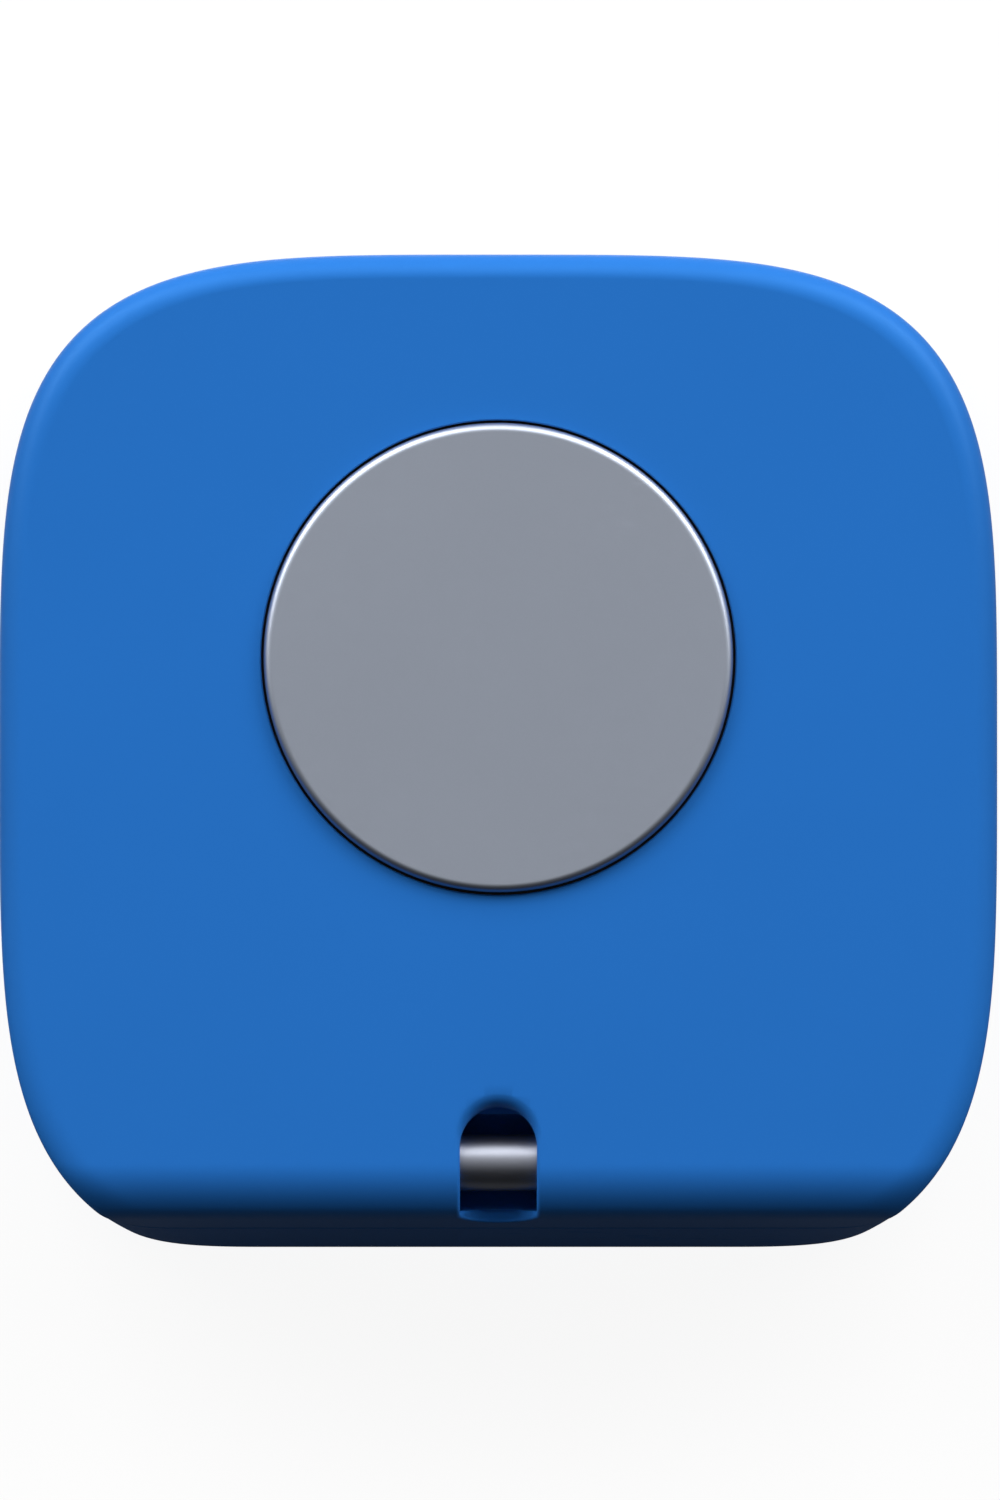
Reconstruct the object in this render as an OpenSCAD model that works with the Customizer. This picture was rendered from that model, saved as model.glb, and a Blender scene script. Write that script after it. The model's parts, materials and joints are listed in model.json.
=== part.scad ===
// Bluetooth tracker tag: a squircle puck with a round metal push button, a coin cell
// behind a coin-turn door, and a steel lanyard bar let into its lower edge.
//
// Frame: millimetres, +Z out of the front face, the lanyard bar towards -Y.
// The origin is the middle of the bounding box on the rear face, at Z = 0.
// Heights run up from the rear face as one stack: door, coin cell, negative contact,
// board, button parts, front wall. Changing one of them moves everything above it.

/* [Case] */
// Width of the case, along X
body_w = 37; // [36:0.5:42]
// Length of the case, along Y
body_h = 36.9; // [36.5:0.1:42]
// Exponent of the superellipse outline, higher is squarer
outline_n = 4.05; // [3.8:0.05:5]
// How far the flat lower end trims the fuller lower half of the superellipse
end_cut = 1.05; // [0.8:0.05:1.4]
// Lean of the flat lower end, outwards from the front to the rear
end_lean = 9; // [6:0.5:10]
// Wall of both shells
wall = 1.2; // [1.1:0.05:1.4]
// Depth of the front shell, front face to seam
front_depth = 3.7; // [3.6:0.05:4]
// Rounding of the front edge along the sides and top
edge_r = 0.9; // [0.5:0.05:1.1]
// Run of the front face's roll-off, measured from the lower end at the seam
roll_run = 2.4; // [2.2:0.05:2.6]
// Radius of the roll-off
roll_r = 2.6; // [2.5:0.1:3]
// Rounding between the roll-off and the wall of the lower end
end_r = 1.1; // [0.9:0.05:1.2]
// Rounding of the rear edge
rear_r = 1.5; // [0.8:0.1:1.8]
// Chamfer that opens the seam between the shells
seam_chamfer = 0.1; // [0.05:0.01:0.15]

/* [Seam joint] */
// Thickness of the tongue on the front shell
tongue_t = 0.55; // [0.45:0.05:0.6]
// Depth of the tongue below the seam
tongue_h = 0.8; // [0.6:0.1:1]
// Height of the case gasket under the tongue
gasket_h = 0.4; // [0.3:0.05:0.5]
// Width of each snap hook
hook_w = 3; // [2:0.25:4]
// Thickness of each snap hook
hook_t = 0.65; // [0.5:0.05:0.75]
// Reach of each snap hook below the seam
hook_drop = 2.6; // [2.4:0.1:3]
// Depth of the barb on each snap hook
barb_d = 0.35; // [0.2:0.05:0.4]

/* [Button] */
// Place of the button and coin cell axis, along Y
button_y = 3.5; // [2.4:0.1:3.6]
// Diameter of the metal button cap
cap_d = 17.4; // [15:0.1:18]
// Thickness of the metal button cap
cap_t = 1.1; // [0.8:0.05:1.3]
// Rounding of the cap's front edge
cap_edge_r = 0.2; // [0.1:0.02:0.4]
// How far the cap stands proud of the front face
cap_rise = 0.4; // [0.35:0.05:0.6]
// Ring gap between the cap and the front shell
cap_gap = 0.1; // [0.08:0.01:0.25]
// Thickness of the adhesive film under the cap
film_t = 0.1; // [0.05:0.01:0.15]
// Width of the carrier's flange beyond the cap
flange_w = 0.7; // [0.5:0.05:0.9]
// Thickness of the carrier's flange
flange_t = 0.7; // [0.5:0.05:0.9]
// Height of the silicone diaphragm under the flange
diaphragm_h = 0.7; // [0.6:0.05:0.9]
// Thickness of the retainer ring
retainer_t = 0.35; // [0.3:0.05:0.5]
// Wall of the guide ring round the carrier
guide_t = 0.85; // [0.7:0.05:0.95]
// Diameter of the metal snap dome
dome_d = 7; // [5:0.5:8]
// Height of the metal snap dome
dome_h = 0.45; // [0.4:0.05:0.5]

/* [Lanyard bar] */
// Width of the lanyard slot
slot_w = 2.85; // [2.4:0.05:3.4]
// Reach of the slot up the front face from the lower end
slot_reach = 4.5; // [4.3:0.05:4.7]
// Depth of the slot's mouth over the lower end, below the front face
mouth_drop = 2.3; // [2.1:0.05:2.6]
// Chamfer round the slot's mouth
slot_chamfer = 0.25; // [0.1:0.05:0.3]
// Diameter of the lanyard bar
bar_d = 2.1; // [1.8:0.1:2.2]
// Length of the lanyard bar
bar_l = 8.4; // [7:0.1:9]
// Distance of the bar's axis from the lower end at the seam
bar_in = 2.45; // [2.3:0.05:2.55]
// Depth of the bar's axis below the front face
bar_drop = 1.65; // [1.5:0.05:1.7]
// Room for the cord all round the bar
cord_gap = 0.75; // [0.65:0.05:0.8]

/* [Coin cell and door] */
// Diameter of the coin cell
cell_d = 20; // [16:0.1:20.2]
// Height of the coin cell
cell_h = 3.2; // [2.5:0.1:3.6]
// Wall of the cell's steel cups
cell_wall = 0.25; // [0.2:0.01:0.3]
// Room round the coin cell
cell_gap = 0.2; // [0.15:0.01:0.3]
// Wall of the tube that holds the cell
tube_t = 1; // [0.8:0.1:1.2]
// Thickness of the battery door
door_t = 1.35; // [1.2:0.05:1.6]
// Depth of the door's face below the rear face
door_recess = 0.15; // [0.1:0.01:0.25]
// Ring gap between the door and the rear shell
door_gap = 0.15; // [0.1:0.01:0.25]
// Cord diameter of the door's O-ring
seal_d = 0.65; // [0.55:0.01:0.7]
// Thickness of the ledge that the door's lugs hook behind
ledge_t = 0.8; // [0.6:0.05:0.85]
// Reach of the door's lugs beyond the door
lug_reach = 1.15; // [0.8:0.05:1.2]
// Angle that each door lug covers
lug_angle = 32; // [24:1:36]
// Turn of the door from locked to released
door_turn = 40; // [38:1:45]
// Width of the door's coin slot
coin_slot_w = 1.8; // [1.5:0.1:2.2]
// Depth of the door's coin slot
coin_slot_h = 0.75; // [0.5:0.05:0.8]
// Radius of the coin that the slot is cut for
coin_r = 12; // [10:0.5:14]

/* [Board] */
// Thickness of the main board
board_t = 0.8; // [0.6:0.1:1]
// Room for the negative contact between cell and board
contact_h = 0.45; // [0.4:0.05:0.7]
// Thickness of the contacts' spring strip
contact_t = 0.15; // [0.1:0.01:0.2]
// Width of the contacts' spring strip
contact_w = 3.6; // [2.4:0.2:4]
// Room for small parts between board and retainer ring
part_room = 0.9; // [0.85:0.05:1.2]
// Gap between the board's edge and the shells' inner wall
board_gap = 1.1; // [1:0.05:1.3]
// Diameter of the screw bosses
boss_d = 3.2; // [2.8:0.1:3.4]
// Thread diameter of the board screws
screw_d = 1.2; // [1:0.1:1.4]
// Head diameter of the board screws
screw_head_d = 2.4; // [2:0.1:2.6]
// Head height of the board screws
screw_head_h = 0.55; // [0.4:0.05:0.7]
// Length of the board screws under the head
screw_l = 3; // [2.4:0.1:3.2]
// Side of the square sounder
sounder_w = 7; // [5:0.5:7]
// Height of the sounder
sounder_h = 2; // [1.6:0.1:2.2]
// Side of the square radio chip
chip_w = 6; // [4:0.5:6]
// Height of the radio chip
chip_h = 0.75; // [0.5:0.05:0.8]

/* [Hidden] */

$fn = 72;
eps = 0.01;      // lets a cut run clear of a face
fuse = 0.1;      // joined features run this far into each other
fit = 0.02;      // clearance between pieces that seat on each other
slack = 0.1;     // clearance between moulded pieces that slide past each other

// Outline: a superellipse, fuller below its middle, whose lower end is trimmed flat.
// The trimmed end leans, so low_y is its place near the rear face and end_y at the seam.
ring_n = 60;
arc_n = 5;
roll_n = 7;
end_n = 3;
curve_a = body_w / 2;
curve_b = body_h / 2;
curve_low = body_h / 2 + end_cut;
low_y = -body_h / 2;

// Heights, from the rear face up
door_top = door_recess + door_t;
cell_z = door_top + 0.15;
cell_top = cell_z + cell_h;
board_z = cell_top + contact_h;
board_top = board_z + board_t;
retainer_z = board_top + part_room;
guide_z = retainer_z + retainer_t;
flange_z = guide_z + diaphragm_h;
flange_gap = 0.05;
ceiling_z = flange_z + flange_t + flange_gap;
front_z = ceiling_z + wall;
seam_z = front_z - front_depth;
lean = tan(end_lean);
end_y = low_y + (seam_z - rear_r) * lean;
tongue_z = seam_z - tongue_h;
rebate_z = tongue_z - gasket_h;

// Seam joint, as distances in from the outline
lip_t = wall - tongue_t - slack / 2;
roll_wall = wall + 0.4;
hook_in = wall + slack;
hook_z = seam_z - hook_drop;
hook_top = seam_z + 1.2;
barb_h = 0.7;
hook_top_x = 7;
hook_end_x = bar_l / 2 + 5.2;
hook_places = [
    [curve_a, 0, 0], [-curve_a, 0, 0],
    [hook_top_x, body_h / 2, 90], [-hook_top_x, body_h / 2, 90],
    [hook_end_x, end_y, 90], [-hook_end_x, end_y, 90]
];

// Button
cap_hole_r = cap_d / 2 + cap_gap;
cap_top = front_z + cap_rise;
cap_z = cap_top - cap_t;
film_z = cap_z - film_t;
hub_r = cap_d / 2 - slack;
hub_rim = 1.2;
hub_plate = 0.45;
hub_rib_t = 0.8;
flange_r = cap_d / 2 + flange_w;
guide_r = flange_r + 0.15;
guide_outer_r = guide_r + guide_t;
nib_r = 1.5;
nib_root_r = nib_r + 0.9;
nib_z = board_top + dome_h + 0.05;
dome_t = 0.12;
dome_foot = 0.4;
dome_n = 8;
retainer_r = hub_r - 2;
skirt_t = 0.3;
stake_r = 0.45;
stake_end = 0.15;
stake_ear_r = 1.1;
stake_ring_r = guide_outer_r + 0.4;
stake_angles = [30, 150, 270];

// Lanyard bar
bar_y = end_y + bar_in;
bar_z = front_z - bar_drop;
cord_r = bar_d / 2 + cord_gap;
mouth_low = front_z - mouth_drop;
block_y = bar_y + cord_r + 1;
block_z = bar_z - cord_r - 0.8;

// Coin cell bay and door
bay_r = cell_d / 2 + cell_gap;
groove_w = seal_d + 0.35;
groove_d = 0.2;
groove_r = bay_r + groove_w / 2;
door_r = bay_r + groove_w + 0.35;
door_hole_r = door_r + door_gap;
lug_r = door_r + lug_reach;
lug_gap = 0.05;
lug_gap_angle = 1;
lug_angles = [30, 150, 270];
notch_r = lug_r + door_gap;
chamber_r = notch_r + door_gap;
bay_outer_r = chamber_r + 0.8;
seal_z = door_top - groove_d;
web_z = seal_z + seal_d + fit;
web_t = 0.8;
tube_r = bay_r + tube_t;
tube_top = board_z - contact_t - 0.2;
mark_r = 0.4;
mark_d = 0.15;

// Coin cell
cell_r = cell_d / 2;
can_h = cell_h - cell_wall;
cup_r = cell_r - cell_wall - 0.55;
crimp_r = cup_r + 0.15;
skirt_z = cell_z + cell_wall + 0.6;

// Contacts
contact_angles = [205, 335];
contact_d = cell_r + fit;
contact_z = web_z + web_t + 0.3;
contact_foot = 2.4;
spring_base = 3.2;
spring_reach = 6.2;

// Board and its parts
board_in = wall + board_gap;
board_x = curve_a - board_in;
board_low = end_y + board_in;
board_high = body_h / 2 - board_in;
block_clear = 0.3;
pilot_r = screw_d / 2 + fit;
screw_hole_r = screw_d / 2 + 0.15;
corner_in = [4, 3.4];
foot_gap = 0.9;
foot_x = bar_l / 2 + foot_gap + boss_d / 2;
foot_y = board_low + boss_d / 2 + slack;
screw_places = [
    [board_x - corner_in[0], board_high - corner_in[1]],
    [-(board_x - corner_in[0]), board_high - corner_in[1]],
    [foot_x, foot_y],
    [-foot_x, foot_y]
];
part_gap = 0.6;
edge_room = 2.4;
chip_low = 3.6;
chip_dot_r = 0.3;
chip_dot_d = 0.1;
chip_place = [-(board_x - edge_room - chip_w / 2), board_low + chip_low + chip_w / 2];
main_crystal_size = [2.5, 2, 0.5];
clock_crystal_size = [3.2, 1.5, 0.75];
crystal_y = chip_place[1] + chip_w / 2 + part_gap + main_crystal_size[1] / 2;
antenna_size = [6.5, 1.6, 0.8];
sounder_low = 3.1;
sounder_place = [board_x - edge_room - sounder_w / 2, board_low + sounder_low + sounder_w / 2];
sounder_r = sounder_w / 2 - 0.4;
sounder_step = 0.35;
sound_hole_r = 0.6;
capacitor_size = [2.8, 3.5, 0.8];
capacitor_place = [
    sounder_place[0] + (sounder_w - capacitor_size[0]) / 2,
    sounder_place[1] + (sounder_w + capacitor_size[1]) / 2 + part_gap
];
passive_size = [1, 0.5, 0.35];
passive_columns = 7;
passive_pitch = 1.4;
passive_from = chip_place[0] + (chip_w + passive_size[0]) / 2 + part_gap;
passive_to = sounder_place[0] - (sounder_w + passive_size[0]) / 2 - part_gap;

// Superellipse points, drawn in by d, from the start angle to its mirror image.
function curve(d, start, n) = [
    for (i = [0:n])
        let (
            t = start + (180 - 2 * start) * i / n,
            b = t < 0 || t > 180 ? curve_low : curve_b
        )
            [(curve_a - d) * signed_power(cos(t)), (b - d) * signed_power(sin(t))]
];

function signed_power(v) = sign(v) * pow(abs(v), 2 / outline_n);

// The case outline drawn in by d: the superellipse down to where the flat end meets it.
function outline(d) =
    let (reach = min(1, (-end_y - d) / (curve_low - d)))
    curve(d, -asin(pow(reach, outline_n / 2)), ring_n);

// A quarter of an ellipse, from angle 0 to 90.
function quarter(rx, ry, n) = [for (i = [0:n]) [rx * cos(90 * i / n), ry * sin(90 * i / n)]];

// Points [y, z] of an arc after its start; turn 0 is straight up, 90 is towards the lower end.
function end_arc(centre, r, from, to, n) = [
    for (i = [1:n])
        let (turn = from + (to - from) * i / n)
            [centre[0] - r * sin(turn), centre[1] + r * cos(turn)]
];

function reversed(list) = [for (i = [len(list) - 1:-1:0]) list[i]];

// A solid through full superellipse rings: each level is [inset, height].
module loft(levels) {
    rings = [for (level = levels) curve(level[0], -90, ring_n)];
    points = [
        for (k = [0:len(levels) - 1])
            for (i = [0:ring_n - 1])
                [rings[k][i][0], rings[k][i][1], levels[k][1]]
    ];
    sides = [
        for (k = [0:len(levels) - 2])
            for (i = [0:ring_n - 1])
                let (j = (i + 1) % ring_n)
                    [k * ring_n + i, (k + 1) * ring_n + i, (k + 1) * ring_n + j, k * ring_n + j]
    ];
    floor_face = [for (i = [0:ring_n - 1]) i];
    roof_face = [for (i = [ring_n - 1:-1:0]) (len(levels) - 1) * ring_n + i];
    polyhedron(points = points, faces = concat(sides, [floor_face, roof_face]), convexity = 4);
}

// A prism of the case outline, drawn in by d, between two heights.
module slab(d, z0, z1) {
    translate([0, 0, z0])
        linear_extrude(z1 - z0)
            polygon(outline(d));
}

// A wall that follows the outline, between two insets and two heights.
module band(d0, d1, z0, z1) {
    difference() {
        slab(d0, z0, z1);
        slab(d1, z0 - eps, z1 + eps);
    }
}

// A side view of the case, drawn as [y, z] points and carried along X.
module side_profile(points) {
    rotate([90, 0, 90])
        linear_extrude(body_w + 2, center = true)
            polygon(points);
}

// A cylinder along X, centred on the lanyard bar's axis.
module bar_rod(r, l) {
    translate([0, bar_y, bar_z])
        rotate([0, 90, 0])
            cylinder(r = r, h = l, center = true);
}

// A ring sector about Z.
module sector(r_in, r_out, from, to, z0, z1) {
    translate([0, 0, z0])
        rotate([0, 0, from])
            rotate_extrude(angle = to - from)
                translate([r_in, 0])
                    square([r_out - r_in, z1 - z0]);
}

module disc(r, z0, z1) {
    translate([0, 0, z0])
        cylinder(r = r, h = z1 - z0);
}

module tube(r_out, r_in, z0, z1) {
    difference() {
        disc(r_out, z0, z1);
        disc(r_in, z0 - eps, z1 + eps);
    }
}

// A box on the board or elsewhere, centred on a place.
module box_at(place, size, z) {
    translate([place[0] - size[0] / 2, place[1] - size[1] / 2, z])
        cube(size);
}

// Puts round parts on the axis that the button, the coin cell and the door share.
module at_axis() {
    translate([0, button_y, 0])
        children();
}

module at_angles(angles, r) {
    for (angle = angles)
        rotate([0, 0, angle])
            translate([r, 0, 0])
                children();
}

// The outline that the guide ring and its retainer share: a ring with three stake ears.
module eared_ring(bore_r, ear_hole_r) {
    difference() {
        union() {
            circle(guide_outer_r);
            at_angles(stake_angles, stake_ring_r)
                circle(stake_ear_r);
        }
        circle(bore_r);
        if (ear_hole_r > 0)
            at_angles(stake_angles, stake_ring_r)
                circle(ear_hole_r);
    }
}

// ---------------------------------------------------------------- case shells

// Outer form of the front shell: rounded front edge and a lower end that rolls off. The
// roll-off meets the leaning end in an arc that is tangent to both, found by climbing the end.
module front_form() {
    edge = [
        for (p = quarter(edge_r, edge_r, arc_n))
            [edge_r - p[0], front_z - edge_r + p[1]]
    ];
    roll_centre = [end_y + roll_run, front_z - roll_r];
    up = [sin(end_lean), cos(end_lean)];
    start = [end_y + end_r * up[1] - roll_centre[0], seam_z - end_r * up[0] - roll_centre[1]];
    climb = sqrt(pow(start * up, 2) - start * start + pow(roll_r - end_r, 2)) - start * up;
    end_from = start + climb * up;
    end_centre = roll_centre + end_from;
    roll_end = atan2(-end_from[0], end_from[1]);
    roll = concat(
        [[end_y + seam_chamfer * lean, seam_z + seam_chamfer], [end_y, seam_z] + climb * up],
        end_arc(end_centre, end_r, 90 - end_lean, roll_end, end_n),
        end_arc(roll_centre, roll_r, roll_end, 0, roll_n)
    );
    intersection() {
        loft(concat([[seam_chamfer, seam_z], [0, seam_z + seam_chamfer]], edge));
        side_profile(concat(
            [[body_h, seam_z - 1], [end_y + seam_chamfer, seam_z - 1], [end_y + seam_chamfer, seam_z]],
            roll,
            [[end_y + roll_run, front_z + 1], [body_h, front_z + 1]]
        ));
    }
}

// Outer form of the rear shell: rounded rear edge and a flat lower end that leans out.
module rear_form() {
    edge = [for (p = reversed(quarter(rear_r, rear_r, arc_n))) [rear_r - p[0], rear_r - p[1]]];
    rim = [[0, seam_z - seam_chamfer], [seam_chamfer, seam_z]];
    intersection() {
        loft(concat(edge, rim));
        side_profile(concat(
            [[body_h, -1], [low_y + rear_r, -1]],
            [for (p = edge) [low_y + p[0], p[1]]],
            [[end_y - seam_chamfer * lean, seam_z - seam_chamfer], [end_y + seam_chamfer, seam_z]],
            [[end_y + seam_chamfer, seam_z + 1], [body_h, seam_z + 1]]
        ));
    }
}

// The hollow of the front shell, which stops short of the rolled-off end.
module front_hollow() {
    intersection() {
        slab(wall, seam_z - 1, ceiling_z);
        translate([-body_w / 2, end_y + roll_wall, seam_z - 2])
            cube([body_w, body_h, front_z]);
    }
}

// Columns that cut the seam's bands into separate snap hooks, each w wide.
module hook_columns(w) {
    for (place = hook_places)
        translate([place[0], place[1], 0])
            rotate([0, 0, place[2]])
                translate([-4, -w / 2, 0])
                    cube([8, w, front_z]);
}

module snap_hooks() {
    intersection() {
        union() {
            band(hook_in, hook_in + hook_t, hook_z, hook_top);
            band(wall - fuse, hook_in + hook_t, tongue_z, hook_top);
            band(hook_in - barb_d, hook_in + fuse, hook_z + barb_h / 2, hook_z + barb_h);
            band(hook_in - barb_d / 2, hook_in + fuse, hook_z, hook_z + barb_h);
        }
        hook_columns(hook_w);
    }
}

module hook_pockets() {
    intersection() {
        band(hook_in - barb_d - slack, hook_in, hook_z - slack, hook_z + barb_h + slack);
        hook_columns(hook_w + 4 * slack);
    }
}

// The block inside the front shell that carries the ends of the lanyard bar.
module lanyard_block() {
    translate([-bar_l / 2, end_y + wall - fuse, block_z])
        cube([bar_l, block_y - end_y - wall + fuse, ceiling_z + fuse - block_z]);
}

// The slot round the bar: open to the front face and over the lower end.
module lanyard_slot() {
    apex_y = end_y + slot_reach - slot_w / 2;
    bend_z = mouth_low + slot_w / 2;
    mouth = [
        [-slot_w / 2, front_z - slot_chamfer],
        [slot_w / 2, front_z - slot_chamfer],
        [slot_w / 2 + slot_chamfer + eps, front_z + eps],
        [-slot_w / 2 - slot_chamfer - eps, front_z + eps]
    ];
    translate([-slot_w / 2, end_y - 1, bend_z])
        cube([slot_w, apex_y - end_y + 1, front_z - bend_z + 1]);
    translate([0, apex_y, bar_z])
        cylinder(d = slot_w, h = front_z - bar_z + 1);
    translate([0, apex_y, front_z - slot_chamfer])
        cylinder(d1 = slot_w, d2 = slot_w + 2 * slot_chamfer + 2 * eps, h = slot_chamfer + eps);
    translate([0, apex_y, 0])
        rotate([90, 0, 0])
            linear_extrude(slot_reach)
                polygon(mouth);
    translate([0, end_y - 1, bend_z])
        rotate([-90, 0, 0])
            cylinder(d = slot_w, h = bar_in + 1);
    translate([-slot_w / 2, bar_y - cord_r, bar_z])
        cube([slot_w, apex_y - bar_y + cord_r, front_z - bar_z + 1]);
    intersection() {
        bar_rod(cord_r, slot_w);
        translate([-slot_w, bar_y - cord_r - 1, 0])
            cube([2 * slot_w, 2 * cord_r + 2, bar_z]);
    }
}

module front_shell() {
    color("royalblue")
        difference() {
            union() {
                difference() {
                    front_form();
                    front_hollow();
                }
                band(wall - tongue_t, wall, tongue_z, seam_z + fuse);
                snap_hooks();
                lanyard_block();
                at_axis() {
                    translate([0, 0, guide_z])
                        linear_extrude(ceiling_z + fuse - guide_z)
                            eared_ring(guide_r, 0);
                    at_angles(stake_angles, stake_ring_r)
                        disc(stake_r, retainer_z - stake_end, guide_z + fuse);
                }
            }
            at_axis()
                disc(cap_hole_r, ceiling_z - 1, front_z + 1);
            lanyard_slot();
            bar_rod(bar_d / 2 + fit, bar_l + 2 * eps);
        }
}

// The chamber and entry notches of the door's bayonet. A notch lies a little inside its
// chamber all round, so the chamber's end walls stop the door.
module bayonet_cuts() {
    half = lug_angle / 2;
    for (angle = lug_angles) {
        sector(
            door_r, chamber_r,
            angle - half - lug_gap_angle, angle + half + door_turn + lug_gap_angle,
            ledge_t, web_z
        );
        sector(
            door_r, notch_r,
            angle - half + door_turn - lug_gap_angle / 2, angle + half + door_turn + lug_gap_angle / 2,
            -1, ledge_t + fuse
        );
    }
}

module contact_windows() {
    for (angle = contact_angles)
        rotate([0, 0, angle])
            translate([bay_r - 0.6, -contact_w / 2 - slack, contact_z - slack])
                cube([tube_t + 1, contact_w + 2 * slack, board_z]);
}

module rear_shell() {
    color("midnightblue")
        difference() {
            union() {
                difference() {
                    rear_form();
                    slab(wall, wall, seam_z + 1);
                }
                at_axis() {
                    disc(bay_outer_r, wall - fuse, web_z + web_t);
                    disc(tube_r, web_z, tube_top);
                }
                for (place = screw_places)
                    translate(place)
                        disc(boss_d / 2, wall - fuse, board_z);
            }
            slab(lip_t, rebate_z, seam_z + 1);
            hook_pockets();
            at_axis() {
                disc(door_hole_r, -1, web_z);
                disc(bay_r, 0, board_z);
                bayonet_cuts();
                contact_windows();
                at_angles([lug_angles[0], lug_angles[0] + door_turn], door_hole_r + 3 * mark_r)
                    disc(mark_r, -1, mark_d);
            }
            for (place = screw_places)
                translate(place)
                    disc(pilot_r, board_z - screw_l, board_z + 1);
        }
}

module case_gasket() {
    color("dimgray")
        band(lip_t + fit, wall - fit, rebate_z, tongue_z);
}

module lanyard_bar() {
    color("silver")
        bar_rod(bar_d / 2, bar_l);
}

// ---------------------------------------------------------------- button

module button_cap() {
    edge = [
        for (p = quarter(cap_edge_r, cap_edge_r, arc_n))
            [cap_d / 2 - cap_edge_r + p[0], cap_t - cap_edge_r + p[1]]
    ];
    color("lightslategray")
        at_axis()
            translate([0, 0, cap_z])
                rotate_extrude()
                    polygon(concat([[0, 0], [cap_d / 2, 0]], edge, [[0, cap_t]]));
}

module cap_film() {
    color("white")
        at_axis()
            disc(hub_r - 0.3, film_z, cap_z);
}

// The plastic hub under the cap: flange to hold it in, ribs, and a nib over the dome.
module button_carrier() {
    color("darkslategray")
        at_axis() {
            difference() {
                union() {
                    disc(hub_r, flange_z, film_z);
                    disc(flange_r, flange_z, flange_z + flange_t);
                }
                difference() {
                    tube(hub_r - hub_rim, nib_root_r, flange_z - 1, film_z - hub_plate);
                    for (angle = [0:60:120])
                        rotate([0, 0, angle])
                            translate([-hub_r, -hub_rib_t / 2, flange_z - 2])
                                cube([2 * hub_r, hub_rib_t, film_z]);
                }
            }
            disc(nib_r, nib_z, flange_z + fuse);
        }
}

// A silicone ring whose skirt seals the button and lifts it back.
module button_diaphragm() {
    foot_r = retainer_r + 0.2;
    color("gainsboro")
        at_axis()
            translate([0, 0, guide_z])
                rotate_extrude()
                    polygon([
                        [foot_r, 0],
                        [foot_r + 1.1, 0],
                        [hub_r + 0.3, diaphragm_h - skirt_t],
                        [hub_r + 0.3, diaphragm_h],
                        [hub_r - 0.5, diaphragm_h],
                        [foot_r + 0.6, skirt_t],
                        [foot_r, skirt_t]
                    ]);
}

module button_retainer() {
    color("gray")
        at_axis()
            translate([0, 0, retainer_z])
                linear_extrude(retainer_t)
                    eared_ring(retainer_r, stake_r + fit);
}

// A thin domed disc with a flat crown, which snaps flat under the nib.
module snap_dome() {
    dome_r = dome_d / 2;
    rise = [for (i = [0:dome_n]) 1 - pow(max(0, i - 1) / (dome_n - 1), 2)];
    outer = [for (i = [0:dome_n]) [dome_r * i / dome_n, dome_h * rise[i]]];
    inner = [for (i = [0:dome_n]) [(dome_r - dome_foot) * i / dome_n, (dome_h - dome_t) * rise[i]]];
    color("goldenrod")
        at_axis()
            translate([0, 0, board_top])
                rotate_extrude()
                    polygon(concat(outer, reversed(inner)));
}

// ---------------------------------------------------------------- board

module main_board() {
    color("darkgreen")
        difference() {
            slab(board_in, board_z, board_top);
            translate([-bar_l / 2 - block_clear, end_y, board_z - 1])
                cube([bar_l + 2 * block_clear, block_y - end_y + block_clear, board_t + 2]);
            for (place = screw_places)
                translate(place)
                    disc(screw_hole_r, board_z - 1, board_top + 1);
        }
}

module board_screws() {
    color("slategray")
        for (place = screw_places)
            translate(place)
                difference() {
                    union() {
                        disc(screw_d / 2, board_top - screw_l, board_top + fuse);
                        disc(screw_head_d / 2, board_top, board_top + screw_head_h);
                    }
                    for (angle = [0, 90])
                        rotate([0, 0, angle])
                            box_at([0, 0], [screw_head_d * 0.6, 0.25, 1], board_top + screw_head_h / 2);
                }
}

module radio_chip() {
    color("black")
        difference() {
            box_at(chip_place, [chip_w, chip_w, chip_h], board_top);
            translate([chip_place[0] - chip_w / 2 + part_gap, chip_place[1] + chip_w / 2 - part_gap, 0])
                disc(chip_dot_r, board_top + chip_h - chip_dot_d, board_top + chip_h + 1);
        }
}

module main_crystal() {
    color("silver")
        box_at(
            [chip_place[0] - (main_crystal_size[0] + part_gap) / 2, crystal_y],
            main_crystal_size,
            board_top
        );
}

module clock_crystal() {
    color("gold")
        box_at(
            [chip_place[0] + (clock_crystal_size[0] + part_gap) / 2, crystal_y],
            clock_crystal_size,
            board_top
        );
}

module chip_antenna() {
    color("white")
        box_at([0, board_high - part_gap / 2 - antenna_size[1] / 2], antenna_size, board_top);
}

module buffer_capacitor() {
    color("orange")
        box_at(capacitor_place, capacitor_size, board_top);
}

module board_passives() {
    color("saddlebrown")
        for (row = [1, 2])
            for (column = [0:passive_columns - 1])
                box_at(
                    [
                        passive_from + (passive_to - passive_from) * column / (passive_columns - 1),
                        block_y + row * passive_pitch
                    ],
                    passive_size,
                    board_top
                );
}

// ---------------------------------------------------------------- sounder

module sounder_case() {
    color("dimgray")
        difference() {
            box_at(sounder_place, [sounder_w, sounder_w, sounder_h], board_top);
            translate(sounder_place) {
                disc(sounder_r, board_top - 1, board_top + sounder_h / 2);
                disc(sounder_r - sounder_step, board_top, board_top + sounder_h - sounder_step);
                disc(sound_hole_r, board_top, board_top + sounder_h + 1);
            }
        }
}

module sounder_diaphragm() {
    color("peru")
        translate(sounder_place)
            disc(sounder_r - fit, board_top + sounder_h / 2 - 0.1, board_top + sounder_h / 2);
}

// ---------------------------------------------------------------- contacts

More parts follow.
